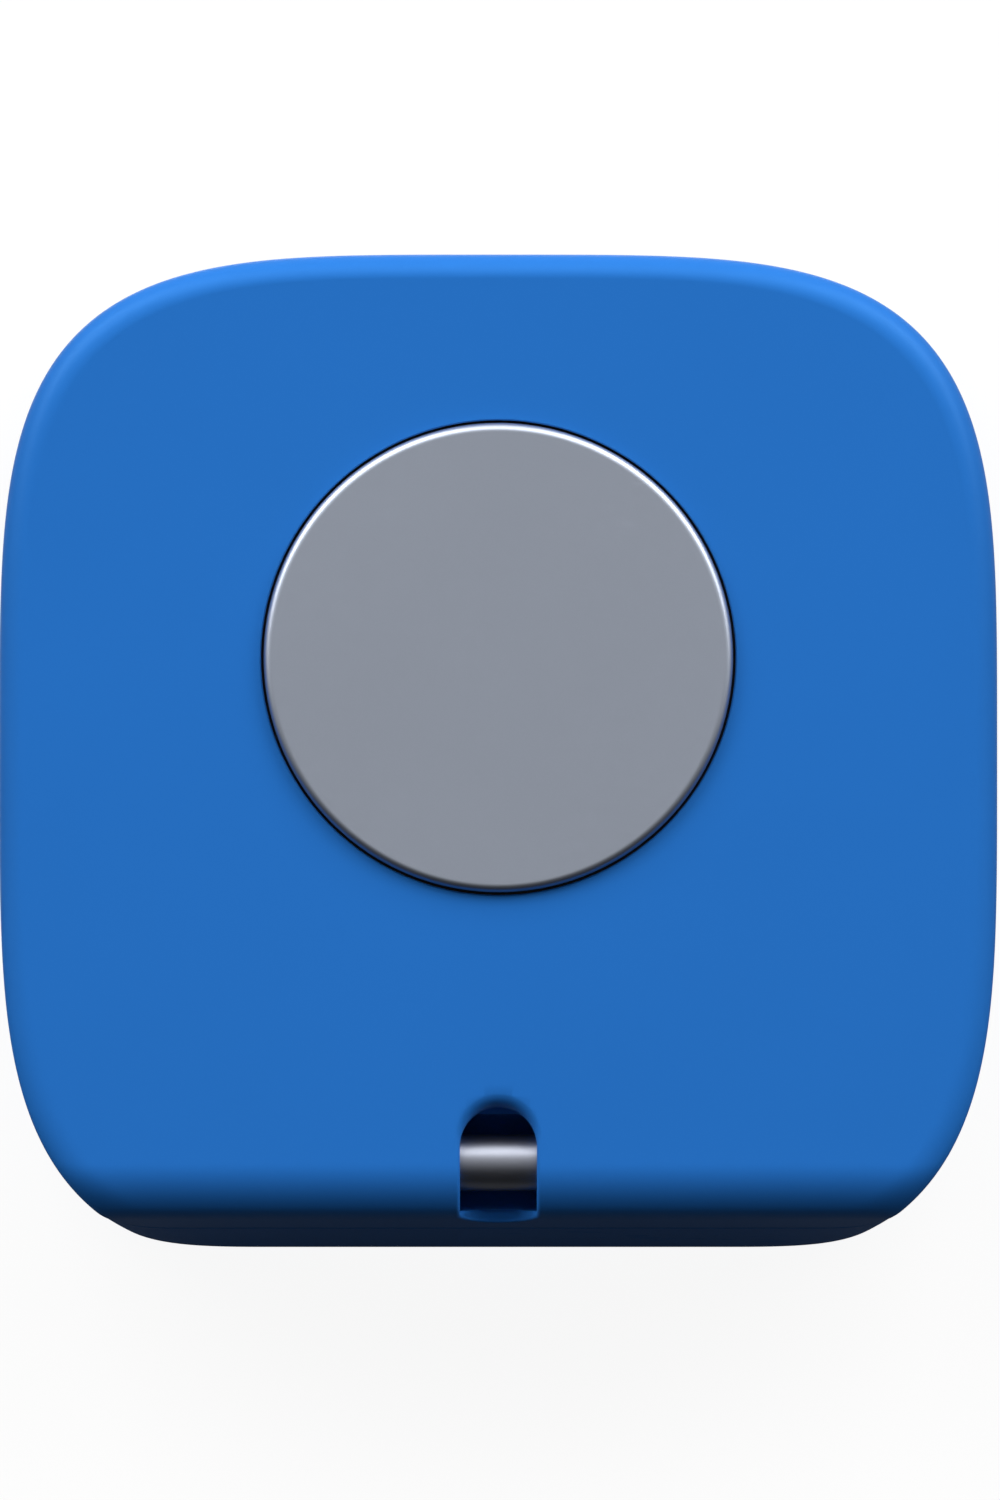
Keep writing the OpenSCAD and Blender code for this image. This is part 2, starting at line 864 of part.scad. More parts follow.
// Spring strips that stand beside the coin cell and turn under the board.
module positive_contacts() {
    color("gold")
        at_axis()
            for (angle = contact_angles)
                rotate([0, 0, angle])
                    translate([contact_d, -contact_w / 2, 0]) {
                        translate([0, 0, contact_z])
                            cube([contact_t, contact_w, board_z - contact_z]);
                        translate([0, 0, board_z - contact_t])
                            cube([contact_foot, contact_w, contact_t]);
                    }
}

// A bowed strip under the board that presses on the cell's cap.
module negative_contact() {
    high = board_z - contact_t / 2;
    low = cell_top + fit + contact_t / 2;
    path = [
        [-spring_reach - 0.7, low + 0.1], [-spring_reach, low], [-spring_base, high],
        [spring_base, high], [spring_reach, low], [spring_reach + 0.7, low + 0.1]
    ];
    color("gold")
        at_axis()
            rotate([90, 0, 0])
                linear_extrude(contact_w, center = true)
                    polygon(concat(
                        [for (p = path) [p[0], p[1] - contact_t / 2]],
                        [for (p = reversed(path)) [p[0], p[1] + contact_t / 2]]
                    ));
}

// ---------------------------------------------------------------- coin cell

// The positive can: a steel cup crimped over the gasket, its flat face to the door.
module cell_can() {
    color("silver")
        at_axis()
            translate([0, 0, cell_z])
                rotate_extrude()
                    polygon([
                        [0, 0],
                        [cell_r, 0],
                        [cell_r, can_h],
                        [crimp_r, can_h],
                        [crimp_r, can_h - cell_wall],
                        [cell_r - cell_wall, can_h - cell_wall],
                        [cell_r - cell_wall, cell_wall],
                        [0, cell_wall]
                    ]);
}

// The negative cap: a shallower cup that closes the can from the board's side.
module cell_cap() {
    color("lightgray")
        at_axis()
            difference() {
                disc(cup_r, skirt_z, cell_top);
                disc(cup_r - cell_wall, skirt_z - 1, cell_top - cell_wall);
            }
}

module cell_gasket() {
    color("black")
        at_axis()
            tube(
                cell_r - cell_wall - fit,
                cup_r + fit,
                cell_z + cell_wall + fit,
                cell_z + can_h - cell_wall - fit
            );
}

module cell_core() {
    color("dimgray")
        at_axis()
            disc(cup_r - cell_wall - fit, cell_z + cell_wall + fit, cell_top - cell_wall - fit);
}

// ---------------------------------------------------------------- battery door

module battery_door() {
    color("midnightblue")
        at_axis()
            difference() {
                union() {
                    disc(door_r, door_recess, door_top);
                    for (angle = lug_angles)
                        sector(
                            door_r - 0.5, lug_r,
                            angle - lug_angle / 2, angle + lug_angle / 2,
                            ledge_t + lug_gap, door_top
                        );
                }
                tube(bay_r + groove_w, bay_r, seal_z, door_top + 1);
                translate([0, 0, door_recess + coin_slot_h - coin_r])
                    rotate([90, 0, 0])
                        cylinder(r = coin_r, h = coin_slot_w, center = true);
                at_angles([lug_angles[0]], door_r - 3 * mark_r)
                    disc(mark_r, -1, door_recess + mark_d);
            }
}

module door_seal() {
    color("black")
        at_axis()
            rotate_extrude()
                translate([groove_r, seal_z + (seal_d + fit) / 2])
                    circle(d = seal_d);
}

front_shell();
rear_shell();
case_gasket();
lanyard_bar();
button_cap();
cap_film();
button_carrier();
button_diaphragm();
button_retainer();
snap_dome();
main_board();
board_screws();
radio_chip();
main_crystal();
clock_crystal();
chip_antenna();
buffer_capacitor();
board_passives();
sounder_case();
sounder_diaphragm();
positive_contacts();
negative_contact();
cell_can();
cell_cap();
cell_gasket();
cell_core();
battery_door();
door_seal();
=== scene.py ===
"""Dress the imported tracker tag: moulded shells, metal button, lanyard bar and coin door.

Lengths are in metres and stand in the frame of the CAD model, +Z out of the front face and
the lanyard bar towards -Y.
"""

import json
import logging
import math
from dataclasses import dataclass
from enum import Enum
from functools import partial
from typing import Callable, Sequence

import bmesh
import bpy
import numpy as np
from mathutils import Matrix, Vector


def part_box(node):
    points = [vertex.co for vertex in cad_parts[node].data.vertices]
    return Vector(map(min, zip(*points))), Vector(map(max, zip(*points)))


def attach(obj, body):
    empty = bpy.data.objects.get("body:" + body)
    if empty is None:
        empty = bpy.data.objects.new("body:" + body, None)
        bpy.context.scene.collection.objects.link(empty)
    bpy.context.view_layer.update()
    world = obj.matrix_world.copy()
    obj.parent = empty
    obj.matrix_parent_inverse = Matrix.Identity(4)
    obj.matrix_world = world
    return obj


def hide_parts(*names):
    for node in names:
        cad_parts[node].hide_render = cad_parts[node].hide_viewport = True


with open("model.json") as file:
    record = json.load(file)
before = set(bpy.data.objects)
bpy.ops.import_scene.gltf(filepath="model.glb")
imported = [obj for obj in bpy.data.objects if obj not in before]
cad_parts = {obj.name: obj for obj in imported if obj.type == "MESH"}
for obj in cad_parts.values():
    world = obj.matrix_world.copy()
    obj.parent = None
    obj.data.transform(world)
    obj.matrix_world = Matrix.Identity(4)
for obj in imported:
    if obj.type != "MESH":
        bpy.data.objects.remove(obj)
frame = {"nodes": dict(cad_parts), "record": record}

log = logging.getLogger("tracker_tag")

MM = 0.001
STARTUP_OBJECTS = ("Cube", "Light", "Camera")
WELD = 2e-7  # points nearer than this are one point
TINY = 1e-12  # keeps a width of nought from dividing
PIN_COLUMNS = 32  # points round a pin or a screw hole
THIRDS = (30.0, 150.0, 270.0)  # degrees at which the guide's ears and the door's lugs stand

Colour = tuple[float, float, float]
Point = tuple[float, float, float]
Value = np.ndarray | float
Object = bpy.types.Object
Node = bpy.types.Node
Socket = bpy.types.NodeSocket


class Body(Enum):
    """The bodies that pieces ride on."""

    CASE = "case"
    BUTTON = "button"
    DOOR = "door"


class Slot(Enum):
    """The record's material slots."""

    FRONT = "front_plastic"
    REAR = "rear_plastic"
    DOOR = "door_plastic"
    CAP = "cap_aluminium"
    BAR = "bar_steel"
    SEAL = "seal_rubber"
    FILM = "film"
    CARRIER = "carrier_plastic"
    SILICONE = "silicone"
    SPRING = "spring_steel"
    LAMINATE = "board_laminate"
    SCREW = "screw_steel"
    EPOXY = "chip_epoxy"
    CRYSTAL = "crystal_can"
    ANTENNA = "antenna_ceramic"
    CAPACITOR = "capacitor_body"
    PASSIVE = "passive_ceramic"
    SOUNDER = "sounder_brass"
    CONTACT = "contact_brass"
    CELL = "cell_steel"
    ELECTRODE = "cell_electrode"


# ---------------------------------------------------------------- meshes


@dataclass
class Skin:
    """One closed surface: its points and, for each number of corners, its faces."""

    points: np.ndarray
    faces: list[np.ndarray]

    def volume(self) -> float:
        """Signed volume inside the surface, positive when the faces point outwards.

        Each face is a fan of triangles, and each triangle with the origin holds a . (b x c) / 6.

        Returns:
            The volume in cubic metres.
        """
        total = 0.0
        for face in self.faces:
            corners = self.points[face]
            for k in range(1, face.shape[1] - 1):
                cross = np.cross(corners[:, k], corners[:, k + 1])
                total += float(np.einsum("ij,ij->", corners[:, 0], cross)) / 6
        return total

    def outward(self) -> "Skin":
        """The same surface with its faces pointing outwards.

        Returns:
            This surface, or a copy with every face turned round.
        """
        if self.volume() < 0:
            return Skin(self.points, [face[:, ::-1] for face in self.faces])
        return self


def ring_skin(
    loops: np.ndarray, closed: bool = False, poles: Sequence[Point] | None = None
) -> Skin:
    """Joins closed loops of points, loop after loop, into one closed surface.

    loops[k, i] is point i of loop k, and quads join each point to its neighbours in its own
    loop and in the next.

    Args:
        loops: Points, shaped (loops, points in a loop, 3).
        closed: Whether the last loop joins the first, as on a torus. Otherwise a fan of
            triangles fills each end loop.
        poles: The points that the two fans meet in, where those aren't the loops' means.

    Returns:
        The closed surface, facing outwards.
    """
    rows, columns = loops.shape[:2]
    index = np.arange(rows * columns).reshape(rows, columns)
    beside = np.roll(index, -1, axis=1)
    if closed:
        above, above_beside = np.roll(index, -1, axis=0), np.roll(beside, -1, axis=0)
        quads = np.stack([index, beside, above_beside, above], axis=-1).reshape(-1, 4)
        return Skin(loops.reshape(-1, 3), [quads]).outward()
    quads = np.stack([index[:-1], beside[:-1], beside[1:], index[1:]], axis=-1).reshape(-1, 4)
    if poles is None:
        poles = [loops[0].mean(axis=0), loops[-1].mean(axis=0)]
    first, last = rows * columns, rows * columns + 1
    fan_a = np.stack([beside[0], index[0], np.full(columns, first)], axis=-1)
    fan_b = np.stack([index[-1], beside[-1], np.full(columns, last)], axis=-1)
    points = np.concatenate([loops.reshape(-1, 3), np.array(poles)])
    return Skin(points, [quads, np.concatenate([fan_a, fan_b])]).outward()


def lathe_skin(profile: Sequence[tuple[float, float]], centre: Point, columns: int) -> Skin:
    """Turns a profile of (radius, height) about a vertical axis through centre.

    The point at angle a is centre + (r cos a, r sin a, h).

    Args:
        profile: Pairs of radius and height, from one pole to the other.
        centre: Where the axis stands, and the height that the profile starts from.
        columns: Points round each loop.

    Returns:
        The closed surface.
    """
    angle = full_turn(columns)
    radius, height = np.array(profile).T
    loops = np.stack(
        [
            centre[0] + np.outer(radius, np.cos(angle)),
            centre[1] + np.outer(radius, np.sin(angle)),
            centre[2] + np.outer(height, np.ones(columns)),
        ],
        axis=-1,
    )
    return ring_skin(loops)


def full_turn(columns: int) -> np.ndarray:
    """Angles once round, in radians, without the last that would meet the first."""
    return np.linspace(0, 2 * np.pi, columns, endpoint=False)


def quarter(radius_x: float, radius_y: float, steps: int) -> np.ndarray:
    """Points of a quarter ellipse as (run, rise), from (0, radius_y) to (radius_x, 0)."""
    turn = np.linspace(0, np.pi / 2, steps + 1)
    return np.stack([radius_x * np.sin(turn), radius_y * np.cos(turn)], axis=-1)


def smooth_min(a: np.ndarray, b: np.ndarray, width: Value) -> np.ndarray:
    """The smaller of a and b, rounded where they are close.

    It is min(a, b) - (1 - |a - b| / width)^2 * width / 4 where |a - b| is less than width.

    Args:
        a: First values.
        b: Second values.
        width: Difference within which the two are blended.

    Returns:
        The blended values.
    """
    width = np.maximum(width, TINY)
    near = np.maximum(width - np.abs(a - b), 0) / width
    return np.minimum(a, b) - near**2 * width / 4


def add_object(name: str, data: bpy.types.ID) -> Object:
    """Adds an object to the scene.

    Args:
        name: Name of the object.
        data: Its mesh, light or camera.

    Returns:
        The object, at the origin.
    """
    obj = bpy.data.objects.new(name, data)
    bpy.context.scene.collection.objects.link(obj)
    return obj


def mesh_object(name: str, skins: Sequence[Skin]) -> Object:
    """Makes an object of closed surfaces, with doubled points welded.

    Args:
        name: Name of the mesh and the object.
        skins: The closed surfaces.

    Returns:
        The object, at the origin.
    """
    mesh = bpy.data.meshes.new(name)
    offsets = np.cumsum([0] + [len(skin.points) for skin in skins])
    faces = [
        row
        for skin, offset in zip(skins, offsets)
        for face in skin.faces
        for row in (face + offset).tolist()
    ]
    mesh.from_pydata(np.concatenate([skin.points for skin in skins]).tolist(), [], faces)
    work = bmesh.new()
    work.from_mesh(mesh)
    bmesh.ops.remove_doubles(work, verts=work.verts, dist=WELD)
    bmesh.ops.dissolve_degenerate(work, edges=work.edges, dist=WELD)
    work.to_mesh(mesh)
    work.free()
    return add_object(name, mesh)


def combine(obj: Object, operation: str, skins: Sequence[Skin]) -> None:
    """Cuts closed surfaces from an object, or joins them to it, and keeps the result.

    Args:
        obj: The object whose mesh changes.
        operation: DIFFERENCE or UNION.
        skins: The tools, each a closed surface.
    """
    for skin in skins:
        tool = mesh_object("tool", [skin])
        modifier = obj.modifiers.new("combine", "BOOLEAN")
        modifier.operation = operation
        modifier.solver = "MANIFOLD"
        modifier.object = tool
        bpy.context.view_layer.update()
        evaluated = obj.evaluated_get(bpy.context.evaluated_depsgraph_get())
        result = bpy.data.meshes.new_from_object(evaluated)
        obj.modifiers.clear()
        old = obj.data
        obj.data = result
        result.name = obj.name
        bpy.data.meshes.remove(old)
        bpy.data.objects.remove(tool)


def finish_piece(
    obj: Object, body: Body, nodes: Sequence[str], sharp: float = 32.0
) -> None:
    """Shades a piece, puts it on its body and hides the CAD nodes that it stands for.

    Args:
        obj: The finished piece.
        body: The body that it rides on.
        nodes: CAD nodes that it replaces.
        sharp: Angle in degrees past which an edge stays sharp.
    """
    obj.data.shade_smooth()
    obj.data.set_sharp_from_angle(angle=math.radians(sharp))
    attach(obj, body.value)
    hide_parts(*nodes)
    log.info("%s: %d faces on %s", obj.name, len(obj.data.polygons), body.value)


# ---------------------------------------------------------------- the tag's form


@dataclass(frozen=True)
class Form:
    """The outline and the heights that all moulded pieces share, read from the CAD frame.

    Attributes:
        half: Half the width.
        top_y: The upper end of the outline.
        low_y: The rear edge of the flat end.
        lip_y: The front shell's edge at the flat end.
        front_z: Height of the front face.
        seam_z: Height of the seam.
        axis_y: Where the axis of the button, the cell and the door stands.
        cap_r: Radius of the button cap.
        power: Exponent of the superellipse.
        end_cut: How far the flat end cuts into the superellipse.
        end_sine: Sine of the angle below the level past which a ray can meet the flat end.
        rear_r: Rounding of the rear edge.
        wall: Thickness of the walls.
        crease_blend: Width over which the flat end and the round sides blend.
        least_blend: Share of that width that stays on the inner loops.
        seam_chamfer: Chamfer along the seam.
    """

    half: float
    top_y: float
    low_y: float
    lip_y: float
    front_z: float
    seam_z: float
    axis_y: float
    cap_r: float
    power: float = 4.05
    end_cut: float = 1.05 * MM
    end_sine: float = 0.3
    rear_r: float = 1.5 * MM
    wall: float = 1.2 * MM
    crease_blend: float = 0.85 * MM
    least_blend: float = 0.3
    seam_chamfer: float = 0.1 * MM

    @classmethod
    def from_frame(cls) -> "Form":
        """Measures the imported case, button and seam.

        Returns:
            The form that every moulded piece shares.
        """
        low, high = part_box("front_shell")
        rear_low, rear_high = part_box("rear_shell")
        cap_low, cap_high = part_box("button_cap")
        return cls(
            half=(high.x - low.x) / 2,
            top_y=high.y,
            low_y=rear_low.y,
            lip_y=low.y,
            front_z=high.z,
            seam_z=rear_high.z,
            axis_y=(cap_low.y + cap_high.y) / 2,
            cap_r=(cap_high.y - cap_low.y) / 2,
        )

    @property
    def lean(self) -> float:
        """How far the flat end comes in for each metre up, from the rear edge to the lip."""
        return (self.lip_y - self.low_y) / (self.seam_z + self.seam_chamfer - self.rear_r)

    @property
    def end_y(self) -> float:
        """Where the leaning end crosses the seam."""
        return self.lip_y - self.seam_chamfer * self.lean

    def around(self, radius: float, turn: float) -> Point:
        """A point of the rear face's plane, at a radius and an angle about the axis."""
        return (radius * math.cos(turn), self.axis_y + radius * math.sin(turn), 0.0)

    @property
    def foot(self) -> Point:
        """Where the axis of the button, the cell and the door meets the rear face."""
        return (0.0, self.axis_y, 0.0)

    def reach(self, angle: np.ndarray, inset: float, end_inset: float) -> np.ndarray:
        """Distance from the outline's centre to the outline, at each angle.

        The superellipse's is 1 / (|cos / a|^n + |sin / b|^n)^(1/n), where a and b are the half
        width and half length less the inset, and b is longer below the middle. The flat
        end's is its distance from the middle over |sin|. The smaller one counts, rounded
        where they cross, most on the outer skin.

        Args:
            angle: Angles about the outline's centre.
            inset: How far the round sides are drawn in.
            end_inset: How far the flat end is drawn in from the seam's line.

        Returns:
            The distances.
        """
        cosine, sine = np.abs(np.cos(angle)), np.sin(angle)
        across = np.abs(cosine / (self.half - inset)) ** self.power
        down = np.abs(sine / (self.half_length(sine) - inset)) ** self.power
        round_reach = (across + down) ** (-1 / self.power)
        end = -self.end_y - end_inset
        flat_reach = end / np.maximum(-sine, self.end_sine)
        flat_reach = np.where(sine < -self.end_sine, flat_reach, 2 * self.half)
        blend = self.crease_blend * max(self.least_blend, 1 - inset / MM)
        return smooth_min(round_reach, flat_reach, blend)

    def half_length(self, side: np.ndarray) -> np.ndarray:
        """Half length of the superellipse on each side, longer where side is negative."""
        return np.where(side < 0, self.top_y + self.end_cut, self.top_y)

    def loop(
        self, angle: np.ndarray, inset: float, z: Value, end_inset: Value | None = None
    ) -> np.ndarray:
        """Points of the outline drawn in by inset, at height z.

        Each lies at reach * (cos, sin) of its angle.

        Args:
            angle: Angles about the outline's centre.
            inset: How far the round sides are drawn in.
            z: Height of the loop.
            end_inset: How far the flat end is drawn in, where that isn't the inset.

        Returns:
            Points, shaped (angles, 3).
        """
        reach = self.reach(angle, inset, inset if end_inset is None else end_inset)
        return np.stack([reach * np.cos(angle), reach * np.sin(angle), z + 0 * angle], axis=-1)

    def skin_loop(self, angle: np.ndarray, inset: float, z: Value) -> np.ndarray:
        """Points of the outer skin drawn in by inset, at height z, where the end leans.

        The end comes in by (z - seam) * lean, down to the rear edge's rounding.

        Args:
            angle: Angles about the outline's centre.
            inset: How far the skin is drawn in.
            z: Height of the loop.

        Returns:
            Points, shaped (angles, 3).
        """
        leant = (np.maximum(z, self.rear_r) - self.seam_z) * self.lean
        return self.loop(angle, inset, z, inset + leant)

    def circle(self, angle: np.ndarray, radius: Value, z: Value) -> np.ndarray:
        """Points at a radius from the button's axis, which may change with the angle.

        Args:
            angle: Angles about the axis.
            radius: One radius, or one for each angle.
            z: Height of the circle.

        Returns:
            Points, shaped (angles, 3).
        """
        return np.stack(
            [radius * np.cos(angle), self.axis_y + radius * np.sin(angle), z + 0 * angle], axis=-1
        )

    def inset_of(self, x: np.ndarray, y: np.ndarray) -> np.ndarray:
        """How far in from the full superellipse a point lies, by its scale.

        With the scale s = (|x / a|^n + |y / b|^n)^(1/n), it is a * (1 - s).

        Args:
            x: Places across.
            y: Places along.

        Returns:
            The insets.
        """
        gauge = np.abs(x / self.half) ** self.power + np.abs(y / self.half_length(y)) ** self.power
        return self.half * (1 - gauge ** (1 / self.power))


@dataclass(frozen=True)
class SnapHook:
    """The snap hooks under the front shell, and the pockets that they catch in.

    Attributes:
        form: The tag's form.
        width: Length of a hook along the wall.
        thickness: Thickness of its strip.
        inset: How far the strip stands in from the outline.
        low: Height of its foot.
        top: Height at which it joins the ceiling.
        joint_drop: How far below the seam it joins the wall.
        barb: How far the barb stands out.
        barb_height: Height of the barb.
        nose: Share of that height by which the barb has come out by a third.
        slope: Share of that height by which it is fully out.
        slack: Room round a barb in its pocket.
        top_x: Place across of the two hooks at the upper end.
        end_x: Place across of the two hooks at the flat end.
        steps: Parts that a hook's length is drawn in.
    """

    form: Form
    width: float = 3 * MM
    thickness: float = 0.65 * MM
    inset: float = 1.3 * MM
    low: float = 3.7 * MM
    top: float = 7.5 * MM
    joint_drop: float = 0.8 * MM
    barb: float = 0.35 * MM
    barb_height: float = 0.7 * MM
    nose: float = 0.2
    slope: float = 0.7
    slack: float = 0.1 * MM
    top_x: float = 7 * MM
    end_x: float = 9.4 * MM
    steps: int = 6

    def places(self) -> list[Point]:
        """Middle of each hook.

        Returns:
            x, y and the angle of the outline's normal there, for each hook.
        """
        form = self.form
        return [
            (form.half, 0.0, 0.0),
            (-form.half, 0.0, math.pi),
            (self.top_x, form.top_y, math.pi / 2),
            (-self.top_x, form.top_y, math.pi / 2),
            (self.end_x, form.end_y, -math.pi / 2),
            (-self.end_x, form.end_y, -math.pi / 2),
        ]

    def solid(self, place: Point, profile: np.ndarray, width: float) -> Skin:
        """Carries a profile of (inset, height) along the outline at one place.

        Each station lies a step along the tangent, and its inset is measured from the
        outline there: half * (1 - |s / half|^n)^(1/n) on a round side, the end line on the
        flat end.

        Args:
            place: x, y and the angle of the outline's normal.
            profile: Pairs of inset and height, once round.
            width: Length along the outline.

        Returns:
            The closed solid.
        """
        form = self.form
        x, y, turn = place
        normal = np.array([math.cos(turn), math.sin(turn)])
        tangent = np.array([-normal[1], normal[0]])
        along = np.linspace(-width / 2, width / 2, self.steps + 1)
        middle = np.array([x, y])
        side = np.abs(middle @ tangent + along)
        drop = 0 * side
        if y > form.end_y:
            gauge = 1 - (side / form.half) ** form.power
            drop = form.half * (1 - gauge ** (1 / form.power))
        base = middle + np.outer(along, tangent) - np.outer(drop, normal)
        plan = base[:, None, :] - profile[None, :, :1] * normal
        loops = np.concatenate(
            [plan, np.broadcast_to(profile[None, :, 1:], (len(along), len(profile), 1))], axis=-1
        )
        return ring_skin(loops)

    def hooks(self) -> list[Skin]:
        """The six hooks: a strip with a wedge barb that faces out.

        Returns:
            A closed surface for each hook.
        """
        inner, outer = self.inset + self.thickness, self.inset
        root = self.form.wall - self.slack
        joint = self.form.seam_z - self.joint_drop
        profile = np.array(
            [
                [inner, self.low],
                [outer, self.low],
                [outer - self.barb / 3, self.low + self.barb_height * self.nose],
                [outer - self.barb, self.low + self.barb_height * self.slope],
                [outer - self.barb, self.low + self.barb_height],
                [outer, self.low + self.barb_height],
                [outer, joint],
                [root, joint],
                [root, self.top],
                [inner, self.top],
            ]
        )
        return [self.solid(place, profile, self.width) for place in self.places()]

    def pockets(self) -> list[Skin]:
        """The pockets in the rear shell's wall, a little larger than the barbs.

        Returns:
            A closed surface for each pocket.
        """
        outer = self.inset - self.barb - self.slack
        low, high = self.low - self.slack, self.low + self.barb_height + self.slack
        profile = np.array([[self.inset, low], [outer, low], [outer, high], [self.inset, high]])
        return [
            self.solid(place, profile, self.width + 4 * self.slack) for place in self.places()
        ]


@dataclass(frozen=True)
class RollOff:
    """The arcs by which the front face rolls down to the flat end, which leans.

    Seen from the side the skin is flat, then an arc of the roll's radius, then a tight arc
    that is tangent to the first arc and to the leaning end, then the end itself.

    Attributes:
        form: The tag's form.
        run: How far in from the flat end the roll starts.
        radius: Radius of the large arc.
        end_r: Radius of the tight arc.
    """

    form: Form
    run: float = 2.4 * MM
    radius: float = 2.6 * MM
    end_r: float = 1.1 * MM

    @property
    def start_y(self) -> float:
        """Where the roll leaves the flat face."""
        return self.form.end_y + self.run

    @property
    def lean_angle(self) -> float:
        """Lean of the flat end from upright."""
        return math.atan(self.form.lean)

    @property
    def wide(self) -> np.ndarray:
        """Centre of the large arc as (y, z)."""
        return np.array([self.start_y, self.form.front_z - self.radius])

    @property
    def tight(self) -> np.ndarray:
        """Centre of the tight arc as (y, z).

        It stands end_r inside the end, and radius - end_r from the large arc's centre. With
        d from that centre to the tight centre that belongs to the seam's height, and u up
        the end, the climb c solves |d + c u| = radius - end_r.

        Returns:
            The centre.
        """
        form = self.form
        up = np.array([math.sin(self.lean_angle), math.cos(self.lean_angle)])
        seam = np.array([form.end_y + self.end_r * up[1], form.seam_z - self.end_r * up[0]])
        start = seam - self.wide
        along = start @ up
        climb = math.sqrt(along**2 - start @ start + (self.radius - self.end_r) ** 2) - along
        return seam + climb * up

    @property
    def tilt(self) -> float:
        """Tilt of the skin where the two arcs meet."""
        apart = self.tight - self.wide
        return math.atan2(-apart[0], apart[1])

    @property
    def end_top(self) -> np.ndarray:
        """Where the tight arc becomes the flat end.

        Returns:
            The place as (y, z).
        """
        return self.tight + self.end_r * np.array(
            [-math.cos(self.lean_angle), math.sin(self.lean_angle)]
        )

    @property
    def arc_length(self) -> float:
        """Length of both arcs together."""
        return self.radius * self.tilt + self.end_r * (math.pi / 2 - self.lean_angle - self.tilt)

    def height(self, y: np.ndarray) -> np.ndarray:
        """Height of the skin over y.

        It is the arc centre's height + sqrt(r^2 - (centre - y)^2) on either arc, and
        seam + (y - end) / lean on the leaning end.

        Args:
            y: Places along the tag.

        Returns:
            The heights.
        """
        form = self.form
        run = np.clip(self.start_y - y, 0, self.radius)
        large = form.front_z - self.radius + np.sqrt(self.radius**2 - run**2)
        tight_y, tight_z = self.tight
        inward = np.clip(tight_y - y, 0, self.end_r)
        tight = tight_z + np.sqrt(self.end_r**2 - inward**2)
        end = form.seam_z + (y - form.end_y) / form.lean
        curved = np.where(run < self.radius * math.sin(self.tilt), large, tight)
        return np.where(y > self.end_top[0], curved, end)

    def walk_to(self, z: np.ndarray) -> np.ndarray:
        """Distance along the skin, from the start of the roll, at which it is at height z.

        An arc of radius r that has dropped by d has turned by acos(1 - d / r), and the end is
        straight.

        Args:
            z: Heights.

        Returns:
            The distances.
        """
        large = np.arccos(np.clip(1 - (self.form.front_z - z) / self.radius, -1, 1))
        tight = np.arccos(np.clip((z - self.tight[1]) / self.end_r, -1, 1))
        first = self.radius * self.tilt
        end = self.arc_length + (self.end_top[1] - z) / math.cos(self.lean_angle)
        second = first + self.end_r * (tight - self.tilt)
        curved = np.where(large < self.tilt, self.radius * large, second)
        return np.where(z > self.end_top[1], curved, end)

    def path(self, length: np.ndarray) -> tuple[np.ndarray, np.ndarray, np.ndarray]:
        """Walks down the skin from the start of the roll.

        Args:
            length: Distances along the skin, less than nought on the flat face.

        Returns:
            The place as (y, z), the outward normal and the downhill direction at each.
        """
        first = self.radius * self.tilt
        turn = np.clip(length, 0, first) / self.radius
        turn = turn + np.clip(length - first, 0, self.arc_length - first) / self.end_r
        sine, cosine = np.sin(turn), np.cos(turn)
        normal, downhill = np.stack([-sine, cosine], -1), np.stack([-cosine, -sine], -1)
        centre = np.where((length <= first)[:, None], self.wide, self.tight)
        radius = np.where(length <= first, self.radius, self.end_r)[:, None]
        straight = np.minimum(length, 0) + np.maximum(length - self.arc_length, 0)
        return centre + radius * normal + straight[:, None] * downhill, normal, downhill


